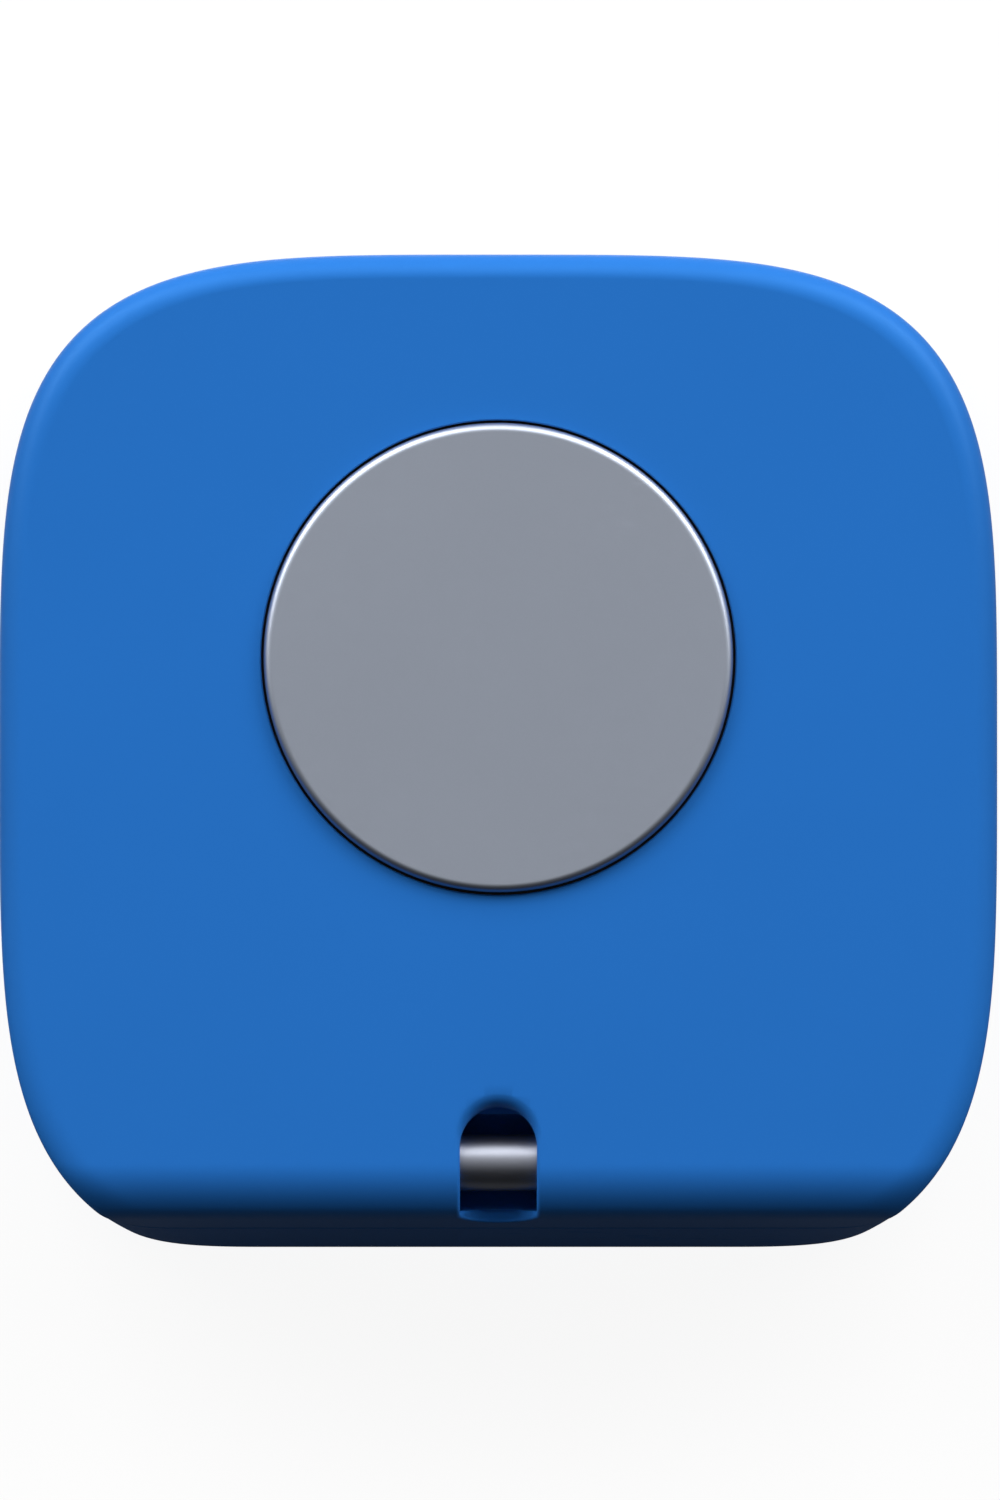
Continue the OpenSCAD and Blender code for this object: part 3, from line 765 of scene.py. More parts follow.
@dataclass(frozen=True)
class LanyardSlot:
    """The slot round the lanyard bar: its soft rim, its walls and the pocket round the bar.

    Attributes:
        form: The tag's form.
        bar_y: Where the bar's axis lies along the tag.
        bar_z: Height of the bar's axis.
        bar_r: Radius of the bar.
        bar_l: Length of the bar.
        width: Width of the slot.
        reach: How far it reaches in from the flat end.
        mouth_z: Height of the mouth's floor.
        cord_r: Radius of the pocket round the bar.
        rim_apex: Rounding of the rim at the slot's upper end.
        rim_ease: Power of the sine by which it eases off to the sides.
        rim_side: Rounding of the rim along the sides.
        rim_mouth: Rounding of the rim at the mouth's floor.
        lip_angle: Degrees of the rim's rounding that are left off next to the skin.
        flare: Share of the rounding by which the tool runs on past the skin.
        overlap: Length by which one tool runs into another.
        stand_off: How far the rim's tool stands off from the skin.
        tuck: How far its last loop goes into the slot, across and down.
        peak: The tool's upper pole, from the flat end and the front face.
        pit: Its lower pole, above the bar's axis.
        clear: How far the straight tools run past the skin.
        bore_over: How much longer the bore is than the bar.
        arc_steps: Points on a half circle of the rim.
        side_steps: Points on a side of the rim.
        rim_steps: Loops across the rounding.
        hollow_steps: Parts that a half circle of the straight tools is drawn in.
        bore_columns: Points round the bore.
    """

    form: Form
    bar_y: float
    bar_z: float
    bar_r: float
    bar_l: float
    width: float = 2.85 * MM
    reach: float = 4.5 * MM
    mouth_z: float = 7.7 * MM
    cord_r: float = 1.8 * MM
    rim_apex: float = 0.62 * MM
    rim_ease: float = 1.2
    rim_side: float = 0.16 * MM
    rim_mouth: float = 0.07 * MM
    lip_angle: float = 15.0
    flare: float = 0.5
    overlap: float = 0.02 * MM
    stand_off: float = 1.2 * MM
    tuck: tuple[float, float] = (0.01 * MM, 0.05 * MM)
    peak: tuple[float, float] = (-0.4 * MM, 1.6 * MM)
    pit: float = 0.3 * MM
    clear: float = 1 * MM
    bore_over: float = 0.2 * MM
    arc_steps: int = 32
    side_steps: int = 28
    rim_steps: int = 9
    hollow_steps: int = 64
    bore_columns: int = 96

    @classmethod
    def from_frame(cls, form: Form) -> "LanyardSlot":
        """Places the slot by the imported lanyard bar.

        Args:
            form: The form that the slot is cut into.

        Returns:
            The slot.
        """
        low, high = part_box("lanyard_bar")
        return cls(
            form=form,
            bar_y=(low.y + high.y) / 2,
            bar_z=(low.z + high.z) / 2,
            bar_r=(high.z - low.z) / 2,
            bar_l=high.x - low.x,
        )

    @property
    def apex_y(self) -> float:
        """Centre of the half circle at the slot's upper end."""
        return self.form.end_y + self.reach - self.width / 2

    @property
    def bend_z(self) -> float:
        """Height of the centre of the mouth's half circle."""
        return self.mouth_z + self.width / 2

    def rim(self, roll: RollOff) -> tuple[np.ndarray, ...]:
        """The rim on the outer skin, once round, anticlockwise seen from outside.

        It is a half circle on the flat face, two sides that follow the roll-off, and a half
        circle in the wall of the end.

        Args:
            roll: The roll-off that the rim lies on.

        Returns:
            For each point: its place, the skin's outward normal, the direction in the skin
            away from the slot and the rim's radius.
        """
        half = self.width / 2
        turn = np.linspace(0, np.pi, self.arc_steps, endpoint=False)
        blend = np.linspace(0, 1, self.side_steps, endpoint=False)

        apex = np.stack(
            [
                half * np.cos(turn),
                self.apex_y + half * np.sin(turn),
                0 * turn + self.form.front_z,
            ],
            -1,
        )
        apex_normal = np.tile([0.0, 0.0, 1.0], (len(turn), 1))
        apex_away = np.stack([np.cos(turn), np.sin(turn), 0 * turn], -1)

        walked = (roll.start_y - self.apex_y) * (1 - blend)
        walked += float(roll.walk_to(np.array([self.bend_z]))[0]) * blend
        skin, side_tilt, _ = roll.path(walked)
        left = np.concatenate([0 * blend[:, None] - half, skin], -1)
        side_normal = np.concatenate([0 * blend[:, None], side_tilt], -1)
        side_away = np.tile([-1.0, 0.0, 0.0], (len(blend), 1))

        skin, tilt, downhill = roll.path(roll.walk_to(self.bend_z - half * np.sin(turn)))
        mouth = np.concatenate([-half * np.cos(turn)[:, None], skin], -1)
        mouth_normal = np.concatenate([0 * turn[:, None], tilt], -1)
        mouth_away = np.concatenate(
            [-np.cos(turn)[:, None], np.sin(turn)[:, None] * downhill], -1
        )

        def mirrored(points: np.ndarray, first: np.ndarray) -> np.ndarray:
            """The left side's points turned over to the right, in walking order."""
            flipped = points[::-1] * [-1, 1, 1]
            return np.concatenate([first[None], flipped[:-1]])

        right = mirrored(left, mouth[0] * [-1, 1, 1])
        right_normal = mirrored(side_normal, mouth_normal[0])
        right_away = mirrored(side_away, np.array([1.0, 0.0, 0.0]))

        apex_rim = self.rim_side + (self.rim_apex - self.rim_side) * np.sin(turn) ** self.rim_ease
        mouth_rim = self.rim_side + (self.rim_mouth - self.rim_side) * np.sin(turn)
        side_rim = 0 * blend + self.rim_side
        place = np.concatenate([apex, left, mouth, right])
        normal = np.concatenate([apex_normal, side_normal, mouth_normal, right_normal])
        away = np.concatenate([apex_away, side_away, mouth_away, right_away])
        radius = np.concatenate([apex_rim, side_rim, mouth_rim, side_rim])[:, None]
        return place, normal, away, radius

    def cutter(self, roll: RollOff) -> Skin:
        """The closed tool that rounds the slot's rim.

        Loops follow the rim. Outside the skin they stand off along the normal; through the
        rim each is place + away * r * (1 - sin t) - normal * r * (1 - cos t); then they go a
        little deeper, and a fan to a point over the bar closes them inside the slot.

        Args:
            roll: The roll-off that the rim lies on.

        Returns:
            The tool.
        """
        place, normal, away, radius = self.rim(roll)
        lip = math.radians(self.lip_angle)
        rounded = [
            place + away * radius * (1 - math.sin(t)) - normal * radius * (1 - math.cos(t))
            for t in np.linspace(lip, np.pi / 2, self.rim_steps)
        ]
        onwards = away * math.cos(lip) + normal * math.sin(lip)
        past = rounded[0] + onwards * (radius * self.flare + self.overlap)
        outside = past + normal * self.stand_off
        deep = rounded[-1] - away * self.tuck[0] - normal * self.tuck[1]
        peak = (0.0, self.form.end_y + self.peak[0], self.form.front_z + self.peak[1])
        pit = (0.0, self.bar_y, self.bar_z + self.pit)
        return ring_skin(np.stack([outside, past, *rounded, deep]), poles=(peak, pit))

    def carried(self, outline: np.ndarray, start: float, end: float, axis: int) -> Skin:
        """A prism: an outline of pairs carried along one axis from start to end.

        Args:
            outline: Points, shaped (points, 2), in the order of the two other axes.
            start: Where the prism starts on the axis.
            end: Where it ends.
            axis: 0, 1 or 2 for X, Y or Z.

        Returns:
            The closed prism.
        """
        loops = [np.insert(outline, axis, place, axis=1) for place in (start, end)]
        return ring_skin(np.stack(loops))

    def hollows(self) -> list[Skin]:
        """The shaft over the bar, the pocket under it and the mouth over the end.

        The shaft is a half circle and a straight part seen from the front; the pocket is the
        lower half of a circle about the bar; the mouth is half round at its floor.

        Returns:
            The three tools.
        """
        half, high = self.width / 2, self.form.front_z + self.clear
        arc = np.linspace(0, np.pi, self.hollow_steps + 1)
        cosine, sine = np.cos(arc), np.sin(arc)
        front, back = self.bar_y - self.cord_r, self.bar_y + self.cord_r
        brim = self.bar_z + self.overlap
        shaft = np.concatenate(
            [
                np.stack([half * cosine, self.apex_y + half * sine], -1),
                [[-half, front], [half, front]],
            ]
        )
        pocket = np.concatenate(
            [
                np.stack([self.bar_y - self.cord_r * cosine, self.bar_z - self.cord_r * sine], -1),
                [[back, brim], [front, brim]],
            ]
        )
        mouth = np.concatenate(
            [
                np.stack([-half * cosine, self.bend_z - half * sine], -1),
                [[half, high], [-half, high]],
            ]
        )
        return [
            self.carried(shaft, self.bar_z, high, 2),
            self.carried(pocket, -half, half, 0),
            self.carried(mouth, self.form.end_y - self.clear, front + self.tuck[1], 1),
        ]

    def bore(self) -> Skin:
        """The bore for the bar, a cylinder along X that runs past the block's sides.

        Returns:
            The tool.
        """
        radius, length = self.bar_r + self.overlap, self.bar_l + self.bore_over
        return self.rod(radius, length, 0.0, self.bore_columns)

    def rod(self, radius: float, length: float, chamfer: float, columns: int) -> Skin:
        """A cylinder along the bar's axis with chamfered ends.

        Args:
            radius: Radius of the cylinder.
            length: Length along X.
            chamfer: Width of the chamfer at each end, or nought.
            columns: Points round it.

        Returns:
            The closed cylinder.
        """
        angle = full_turn(columns)
        stations = np.array([-length / 2, -length / 2 + chamfer, length / 2 - chamfer, length / 2])
        radii = np.array([radius - chamfer, radius, radius, radius - chamfer])
        if chamfer == 0:
            stations, radii = stations[[0, 3]], radii[[0, 3]]
        loops = np.stack(
            [
                np.outer(stations, np.ones(columns)),
                self.bar_y + np.outer(radii, np.cos(angle)),
                self.bar_z + np.outer(radii, np.sin(angle)),
            ],
            -1,
        )
        return ring_skin(loops)


# ---------------------------------------------------------------- sub-assemblies


@dataclass(frozen=True)
class FrontShell:
    """The upper moulding: face, rounded edge, roll-off, tongue, guide ring and bar block.

    Attributes:
        edge_r: Rounding of the front edge along the top.
        edge_fade: Drop of the roll-off over which the rounding fades.
        edge_least: Share of it that never fades.
        edge_low: Share of it that is left at the lower end.
        low_span: Distances below the middle between which it eases to that.
        least_down: Least sine by which a ray's way to the roll-off is measured.
        zone_gap: Step between the flat face and the zone that turns over.
        hole_ring: How far round the button's hole the first loop of the face lies.
        end_wall: Thickness of the wall at the flat end.
        block_depth: How far past the bar's axis the block round the bar reaches.
        block_foot: How far the block stops above the tongue's foot.
        cap_flange: How far the flange under the cap stands out from it.
        stake_low: How far the stakes stand out under the retainer ring.
        stake_root: How far they run up into the guide ring.
        ear_offset: How far outside the guide ring the ears are centred.
    """

    form: Form
    roll: RollOff
    slot: LanyardSlot
    hook: SnapHook
    edge_r: float = 0.9 * MM
    edge_fade: float = 1.4 * MM
    edge_least: float = 0.1
    edge_low: float = 0.5
    low_span: tuple[float, float] = (4 * MM, 14 * MM)
    least_down: float = 0.2
    zone_gap: float = 0.02 * MM
    hole_gap: float = 0.1 * MM
    hole_chamfer: float = 0.05 * MM
    hole_ring: float = 0.25 * MM
    tongue_t: float = 0.55 * MM
    tongue_h: float = 0.8 * MM
    bevel: float = 0.05 * MM
    end_wall: float = 1.6 * MM
    block_depth: float = 2.8 * MM
    block_foot: float = 0.25 * MM
    cap_flange: float = 0.7 * MM
    guide_gap: float = 0.15 * MM
    guide_t: float = 0.85 * MM
    stake_r: float = 0.45 * MM
    stake_chamfer: float = 0.05 * MM
    stake_low: float = 0.15 * MM
    stake_root: float = 0.2 * MM
    ear_r: float = 1.1 * MM
    ear_offset: float = 0.4 * MM
    face_steps: int = 23
    edge_steps: int = 32
    wall_steps: int = 5
    columns: int = 960

    @property
    def guide_r(self) -> float:
        """Inner radius of the guide ring, which clears the flange under the cap."""
        return self.form.cap_r + self.cap_flange + self.guide_gap

    def outer_rows(self, angle: np.ndarray) -> list[np.ndarray]:
        """Loops of the visible skin, from the button hole to the seam.

        Along each ray from the centre the loops lie at reach - w * (1 - cos t), so they
        crowd where the skin turns over. The width w spans the rounded edge or the roll-off,
        whichever is wider there.

        Args:
            angle: Angles of the rays.

        Returns:
            The loops.
        """
        form, roll = self.form, self.roll
        hole_r = form.cap_r + self.hole_gap
        reach = form.reach(angle, 0.0, form.seam_chamfer * form.lean)
        heading = np.stack([np.cos(angle), np.sin(angle)], -1)
        rim = reach[:, None] * heading
        down = np.maximum(-np.sin(angle), self.least_down)
        zone = np.maximum(self.edge_r * reach / form.half, (roll.start_y - rim[:, 1]) / down)
        rows = [
            form.circle(angle, hole_r, form.front_z - self.hole_chamfer),
            form.circle(angle, hole_r + self.hole_chamfer, form.front_z),
            form.circle(angle, hole_r + self.hole_ring, form.front_z),
        ]
        inner = rows[-1][:, :2]
        outer = (reach - zone - self.zone_gap)[:, None] * heading
        for part in np.linspace(0, 1, self.face_steps + 1)[1:]:
            plan = inner + (outer - inner) * part
            rows.append(np.concatenate([plan, np.full((len(angle), 1), form.front_z)], -1))
        for turn in np.linspace(np.pi / 2, 0, self.edge_steps + 1):
            plan = (reach - zone * (1 - math.cos(turn)))[:, None] * heading
            rows.append(np.concatenate([plan, self.skin_height(plan)[:, None]], -1))
        wall_low = form.seam_z + form.seam_chamfer
        wall_top = np.maximum(rows[-1][:, 2], wall_low)
        for part in np.linspace(0, 1, self.wall_steps + 1)[1:]:
            wall = np.stack([*rim.T, wall_top + (wall_low - wall_top) * part], -1)
            rows.append(wall)
        rows.append(form.loop(angle, form.seam_chamfer, form.seam_z))
        return rows

    def skin_height(self, plan: np.ndarray) -> np.ndarray:
        """Height of the front skin over points of the plan.

        The edge takes depth * (1 - sqrt(1 - (1 - inset / r)^2)) off the roll-off's height.
        Its depth is r along the top; it eases by s^2 (3 - 2 s) towards the lower end and
        fades as the roll-off falls away.

        Args:
            plan: Points, shaped (points, 2).

        Returns:
            The heights.
        """
        front = self.form.front_z
        roll = self.roll.height(plan[:, 1])
        start, end = self.low_span
        down = np.clip((-plan[:, 1] - start) / (end - start), 0, 1)
        ease = 1 - (1 - self.edge_low) * down * down * (3 - 2 * down)
        fade = np.clip(1 - (front - roll) / self.edge_fade, self.edge_least, 1)
        depth = self.edge_r * ease * fade
        share = np.clip(self.form.inset_of(plan[:, 0], plan[:, 1]) / self.edge_r, 0, 1)
        low = self.form.seam_z + self.form.seam_chamfer
        return np.maximum(roll - depth * (1 - np.sqrt(1 - (1 - share) ** 2)), low)

    def inner_rows(self, angle: np.ndarray) -> list[np.ndarray]:
        """Loops of the hidden side: tongue, hollow, bar block, ceiling and guide ring.

        Args:
            angle: Angles of the rays.

        Returns:
            The loops, from the seam to the button hole.
        """
        form, bevel, wall = self.form, self.bevel, self.form.wall
        ceiling = form.front_z - wall
        tongue_z = form.seam_z - self.tongue_h
        guide_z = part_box("button_retainer")[1].z
        hollow = form.loop(angle, wall, 0.0, self.end_wall)
        half = self.slot.bar_l / 2
        block_y = self.slot.bar_y + self.block_depth
        in_block = (np.abs(hollow[:, 0]) < half) & (np.sin(angle) < 0)
        beside = (np.roll(in_block, 1) | np.roll(in_block, -1)) & ~in_block
        edge = in_block & ~(np.roll(in_block, 1) & np.roll(in_block, -1))
        hollow[in_block, 1] = block_y
        hollow[beside | edge, 0] = np.sign(hollow[beside | edge, 0]) * half
        ledge_z = np.where(in_block, tongue_z + self.block_foot, form.seam_z)

        def lifted(points: np.ndarray, z: Value) -> np.ndarray:
            """The same plan at another height."""
            return np.concatenate([points[:, :2], (z + 0 * angle)[:, None]], -1)

        outer_face = wall - self.tongue_t
        ring_r = self.ear_reach(angle, self.guide_r + self.guide_t)
        return [
            form.loop(angle, outer_face, form.seam_z),
            form.loop(angle, outer_face, tongue_z + bevel),
            form.loop(angle, outer_face + bevel, tongue_z),
            form.loop(angle, wall - bevel, tongue_z),
            form.loop(angle, wall, tongue_z + bevel),
            lifted(form.loop(angle, wall, 0.0), ledge_z),
            lifted(hollow, ledge_z),
            lifted(hollow, ceiling),
            form.circle(angle, ring_r, ceiling),
            form.circle(angle, ring_r, guide_z),
            form.circle(angle, self.guide_r, guide_z),
            form.circle(angle, self.guide_r, ceiling),
            form.circle(angle, form.cap_r + self.hole_gap, ceiling),
        ]

    def ear_reach(self, angle: np.ndarray, ring_r: float) -> np.ndarray:
        """Outer radius of the guide ring: c cos a + sqrt(r^2 - c^2 sin^2 a) across an ear.

        Args:
            angle: Angles about the button's axis.
            ring_r: Radius of the plain ring.

        Returns:
            The radii.
        """
        reach = np.full_like(angle, ring_r)
        offset = ring_r + self.ear_offset
        for ear in np.radians(THIRDS):
            turn = (angle - ear + np.pi) % (2 * np.pi) - np.pi
            inside = self.ear_r**2 - (offset * np.sin(turn)) ** 2
            over = offset * np.cos(turn) + np.sqrt(np.maximum(inside, 0))
            reach = np.where((inside > 0) & (np.cos(turn) > 0), np.maximum(reach, over), reach)
        return reach

    def stakes(self) -> list[Skin]:
        """The three pins that the retainer ring is staked onto.

        Returns:
            A closed surface for each pin.
        """
        low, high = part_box("button_retainer")
        radius = self.guide_r + self.guide_t + self.ear_offset
        foot = low.z - self.stake_low
        profile = [
            (self.stake_r - self.stake_chamfer, foot),
            (self.stake_r, foot + self.stake_chamfer),
            (self.stake_r, high.z + self.stake_root),
        ]
        return [
            lathe_skin(profile, self.form.around(radius, ear), PIN_COLUMNS)
            for ear in np.radians(THIRDS)
        ]

    def build(self) -> Object:
        """Makes the moulding and cuts the lanyard slot and the bar's bore.

        Returns:
            The dressed piece.
        """
        angle = full_turn(self.columns) - np.pi / 2
        rows = self.outer_rows(angle) + self.inner_rows(angle)
        obj = mesh_object("front_moulding", [ring_skin(np.stack(rows), closed=True)])
        combine(obj, "UNION", self.hook.hooks() + self.stakes())
        slot = self.slot
        combine(obj, "DIFFERENCE", [slot.cutter(self.roll), *slot.hollows(), slot.bore()])
        finish_piece(obj, Body.CASE, ["front_shell"])
        return obj


@dataclass(frozen=True)
class Bayonet:
    """What the battery door and its bay share: three lugs, their turn and the index dimples.

    Attributes:
        lug_r: Radius over the lugs.
        lug_reach: How far a lug stands out from the door.
        lug_angle: Degrees that a lug spans.
        turn: Degrees from locked to released.
        dot_flare: How much wider than the dimple its tool is below the face.
        dot_lip: How far below the face the tool starts to narrow.
    """

    form: Form
    lug_r: float
    lug_reach: float = 1.15 * MM
    lug_angle: float = 32.0
    turn: float = 40.0
    dot_r: float = 0.4 * MM
    dot_depth: float = 0.15 * MM
    dot_flare: float = 1.06
    dot_lip: float = 0.01 * MM
    dot_steps: int = 8
    dot_columns: int = 40

    @classmethod
    def from_frame(cls, form: Form) -> "Bayonet":
        """Takes the lugs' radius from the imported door.

        Args:
            form: The form that the door is centred by.

        Returns:
            The bayonet.
        """
        return cls(form, form.axis_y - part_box("battery_door")[0].y)

    @property
    def door_r(self) -> float:
        """Radius of the door between its lugs."""
        return self.lug_r - self.lug_reach

    def dimple(self, radius: float, turn: float, face_z: float) -> Skin:
        """A tool for a round-bottomed dimple in a face that looks down.

        Below the face it is a cylinder; above it the radius falls as sqrt(1 - t^2) while the
        height rises as t times the depth.

        Args:
            radius: Distance of the dimple from the door's axis.
            turn: Its angle about that axis, in radians.
            face_z: Height of the face.

        Returns:
            The closed tool.
        """
        side = self.dot_r * self.dot_flare
        profile = [(side, face_z - self.dot_depth), (side, face_z - self.dot_lip)]
        profile += [
            (self.dot_r * math.sqrt(1 - t * t), face_z + self.dot_depth * t)
            for t in np.linspace(0, 1, self.dot_steps)[:-1]
        ]
        return lathe_skin(profile, self.form.around(radius, turn), self.dot_columns)


@dataclass(frozen=True)
class RearShell:
    """The lower moulding: rounded rear edge, door bay, cell tube, bosses and seam rebate.

    Attributes:
        door_gap: Room round the door and its lugs.
        hole_chamfer: Chamfer of the bay's rim.
        ring_gap: How far outside the notches' rim the rear face's last plain loop lies.
        lug_gap_angle: Degrees of room at each end of a lug's chamber.
        ledge_t: Thickness of the ledges that the lugs turn under.
        web_t: Thickness of the web that the door's seal meets.
        tube_drop: Room between the cell's tube and the board.
        windows: Degrees at which the contacts' windows in the tube start.
        window_angle: Degrees that a window spans.
        window_sill: How far above the web a window's foot stands.
        face_start: Share of the way in at which the rear face's first loop lies.
        boss_sink: How far a boss runs down into the floor.
        boss_x: Place across of the two lower bosses.
        head_r: Radius of a screw's head.
    """

    form: Form
    hook: SnapHook
    bayonet: Bayonet
    door_gap: float = 0.15 * MM
    hole_chamfer: float = 0.08 * MM
    ring_gap: float = 0.15 * MM
    lug_gap_angle: float = 1.0
    ledge_t: float = 0.8 * MM
    bay_wall: float = 0.8 * MM
    seal_gap: float = 0.01 * MM
    web_t: float = 0.8 * MM
    cell_gap: float = 0.2 * MM
    tube_t: float = 1.0 * MM
    tube_drop: float = 0.35 * MM
    windows: tuple[float, float] = (194.5, 324.5)
    window_angle: float = 21.0
    window_sill: float = 0.2 * MM
    rebate_h: float = 1.2 * MM
    rebate_w: float = 0.6 * MM
    face_start: float = 0.04
    steps: int = 8
    edge_steps: int = 14
    boss_r: float = 1.6 * MM
    boss_sink: float = 0.1 * MM
    boss_x: float = 6.7 * MM
    boss_columns: int = 48
    pilot_r: float = 0.62 * MM
    pilot_depth: float = 3 * MM
    head_r: float = 1.2 * MM
    columns: int = 960

    def sector(self, angle: np.ndarray, start: float, end: float) -> np.ndarray:
        """Which angles lie in one of the three sectors.

        Args:
            angle: Angles about the door's axis, in radians.
            start: Start of a sector past its lug's angle, in degrees.
            end: End of a sector past its lug's angle, in degrees.

        Returns:
            A mask.
        """
        inside = np.zeros(angle.shape, dtype=bool)
        for lug in THIRDS:
            inside |= (np.degrees(angle) - lug - start) % 360 < end - start
        return inside

    def rows(self, angle: np.ndarray) -> list[np.ndarray]:
        """Loops round the whole moulding: outer wall, rear face, bay, tube, floor, rebate.

        The wall leans with the end, the rear edge is a quarter circle, and the bay's loops are
        circles about the door's axis whose radius grows over each lug's notch and chamber.

        Args:
            angle: Angles of the columns.

        Returns:
            The loops, from the seam round to the seam.
        """
        form = self.form
        seam, chamfer, edge = form.seam_z, form.seam_chamfer, form.rear_r
        cell_low, cell_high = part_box("cell_can")
        hole_r = self.bayonet.door_r + self.door_gap
        notch_r = self.bayonet.lug_r + self.door_gap
        chamber_r = notch_r + self.door_gap
        bay_r = (cell_high.x - cell_low.x) / 2 + self.cell_gap
        web_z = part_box("door_seal")[1].z + self.seal_gap
        web_top = web_z + self.web_t
        tube_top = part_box("main_board")[0].z - self.tube_drop
        half, turn, gap = self.bayonet.lug_angle / 2, self.bayonet.turn, self.lug_gap_angle
        notch = self.sector(angle, turn - half - gap / 2, turn + half + gap / 2)
        chamber = self.sector(angle, -half - gap, half + turn + gap)
        low_r = np.where(notch, notch_r, hole_r)
        high_r = np.where(chamber, chamber_r, hole_r)
        window = np.zeros(angle.shape, dtype=bool)
        for start in self.windows:
            window |= (np.degrees(angle) - start) % 360 < self.window_angle
        top = np.where(window, web_top + self.window_sill, tube_top)
        rebate = seam - self.rebate_h
        lip = form.wall - self.rebate_w

        rows = [form.loop(angle, chamfer, seam)]
        for part in np.linspace(0, 1, self.steps + 1):
            rows.append(form.skin_loop(angle, 0.0, seam - chamfer + (edge - seam + chamfer) * part))
        for run, rise in quarter(edge, edge, self.edge_steps)[::-1][1:]:
            rows.append(form.skin_loop(angle, edge - run, edge - rise))
        outer = rows[-1]
        ring = form.circle(angle, notch_r + self.hole_chamfer + self.ring_gap, 0.0)
        for part in np.linspace(self.face_start, 1, self.steps + 1):
            rows.append(outer + (ring - outer) * part)
        rows += [
            form.circle(angle, low_r + self.hole_chamfer, 0.0),
            form.circle(angle, low_r, self.hole_chamfer),
            form.circle(angle, low_r, self.ledge_t),
            form.circle(angle, high_r, self.ledge_t),
            form.circle(angle, high_r, web_z),
            form.circle(angle, bay_r, web_z),
            form.circle(angle, bay_r, top),
            form.circle(angle, bay_r + self.tube_t, top),
            form.circle(angle, bay_r + self.tube_t, web_top),
            form.circle(angle, chamber_r + self.bay_wall, web_top),
            form.circle(angle, chamber_r + self.bay_wall, form.wall),
            form.loop(angle, form.wall, form.wall),
            form.loop(angle, form.wall, rebate),
            form.loop(angle, lip, rebate),
            form.loop(angle, lip, seam),
        ]
        return rows

    def bosses(self) -> tuple[list[Skin], list[Skin]]:
        """The screw bosses and the pilot holes in them.

        Returns:
            The bosses and the holes, each a list of closed surfaces.
        """
        low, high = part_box("board_screws")
        board_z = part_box("main_board")[0].z
        upper = (high.x - self.head_r, high.y - self.head_r)
        lower = (self.boss_x, low.y + self.head_r)
        places = [(side * x, y, 0.0) for x, y in (upper, lower) for side in (1, -1)]
        boss = [(self.boss_r, self.form.wall - self.boss_sink), (self.boss_r, board_z)]
        pilot = [(self.pilot_r, board_z - self.pilot_depth), (self.pilot_r, board_z + MM)]
        return (
            [lathe_skin(boss, place, self.boss_columns) for place in places],
            [lathe_skin(pilot, place, PIN_COLUMNS) for place in places],
        )

    def dots(self) -> list[Skin]:
        """The two dimples that mark the locked and the released turn of the door.

        Returns:
            A tool for each dimple.
        """
        radius = self.bayonet.door_r + self.door_gap + 3 * self.bayonet.dot_r
        turns = np.radians([THIRDS[0], THIRDS[0] + self.bayonet.turn])
        return [self.bayonet.dimple(radius, turn, 0.0) for turn in turns]

    def build(self) -> Object:
        """Makes the moulding, joins its bosses and cuts its pockets, holes and dimples.

        Returns:
            The dressed piece.
        """
        angle = full_turn(self.columns) - np.pi / 2
        obj = mesh_object("rear_moulding", [ring_skin(np.stack(self.rows(angle)), closed=True)])
        bosses, pilots = self.bosses()
        combine(obj, "UNION", bosses)
        combine(obj, "DIFFERENCE", pilots + self.hook.pockets() + self.dots())
        finish_piece(obj, Body.CASE, ["rear_shell"])
        return obj


@dataclass(frozen=True)
class ButtonCap:
    """The turned metal cap, with a fine rolled edge."""

    form: Form
    edge_r: float = 0.3 * MM
    edge_steps: int = 14
    foot: float = 0.06 * MM
    face_gap: float = 0.03 * MM
    face_steps: int = 8
    columns: int = 360

    def build(self) -> Object:
        """Turns the cap's profile: foot chamfer, side, rolled edge and flat face.

        Returns:
            The dressed piece.
        """
        low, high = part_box("button_cap")
        radius, edge = self.form.cap_r, self.edge_r
        profile = [(radius * k / 4, low.z) for k in (1, 2, 3)]
        profile += [(radius - self.foot, low.z), (radius, low.z + self.foot)]
        profile += [
            (radius - edge + run, high.z - edge + rise)
            for run, rise in quarter(edge, edge, self.edge_steps)[::-1]
        ]
        profile += [(radius - edge - self.face_gap, high.z)]
        steps = self.face_steps
        profile += [(radius * k / steps, high.z) for k in range(steps - 1, 0, -1)]
        obj = mesh_object("metal_cap", [lathe_skin(profile, self.form.foot, self.columns)])
        finish_piece(obj, Body.BUTTON, ["button_cap"])
        return obj


@dataclass(frozen=True)
class LanyardBar:
    """The steel bar across the slot, with chamfered ends inside the block."""

    slot: LanyardSlot
    chamfer: float = 0.12 * MM
    columns: int = 160

    def build(self) -> Object:
        """Makes the bar as a chamfered cylinder along X.

        Returns:
            The dressed piece.
        """
        slot = self.slot
        obj = mesh_object(
            "steel_bar", [slot.rod(slot.bar_r, slot.bar_l, self.chamfer, self.columns)]
        )
        finish_piece(obj, Body.CASE, ["lanyard_bar"])
        return obj


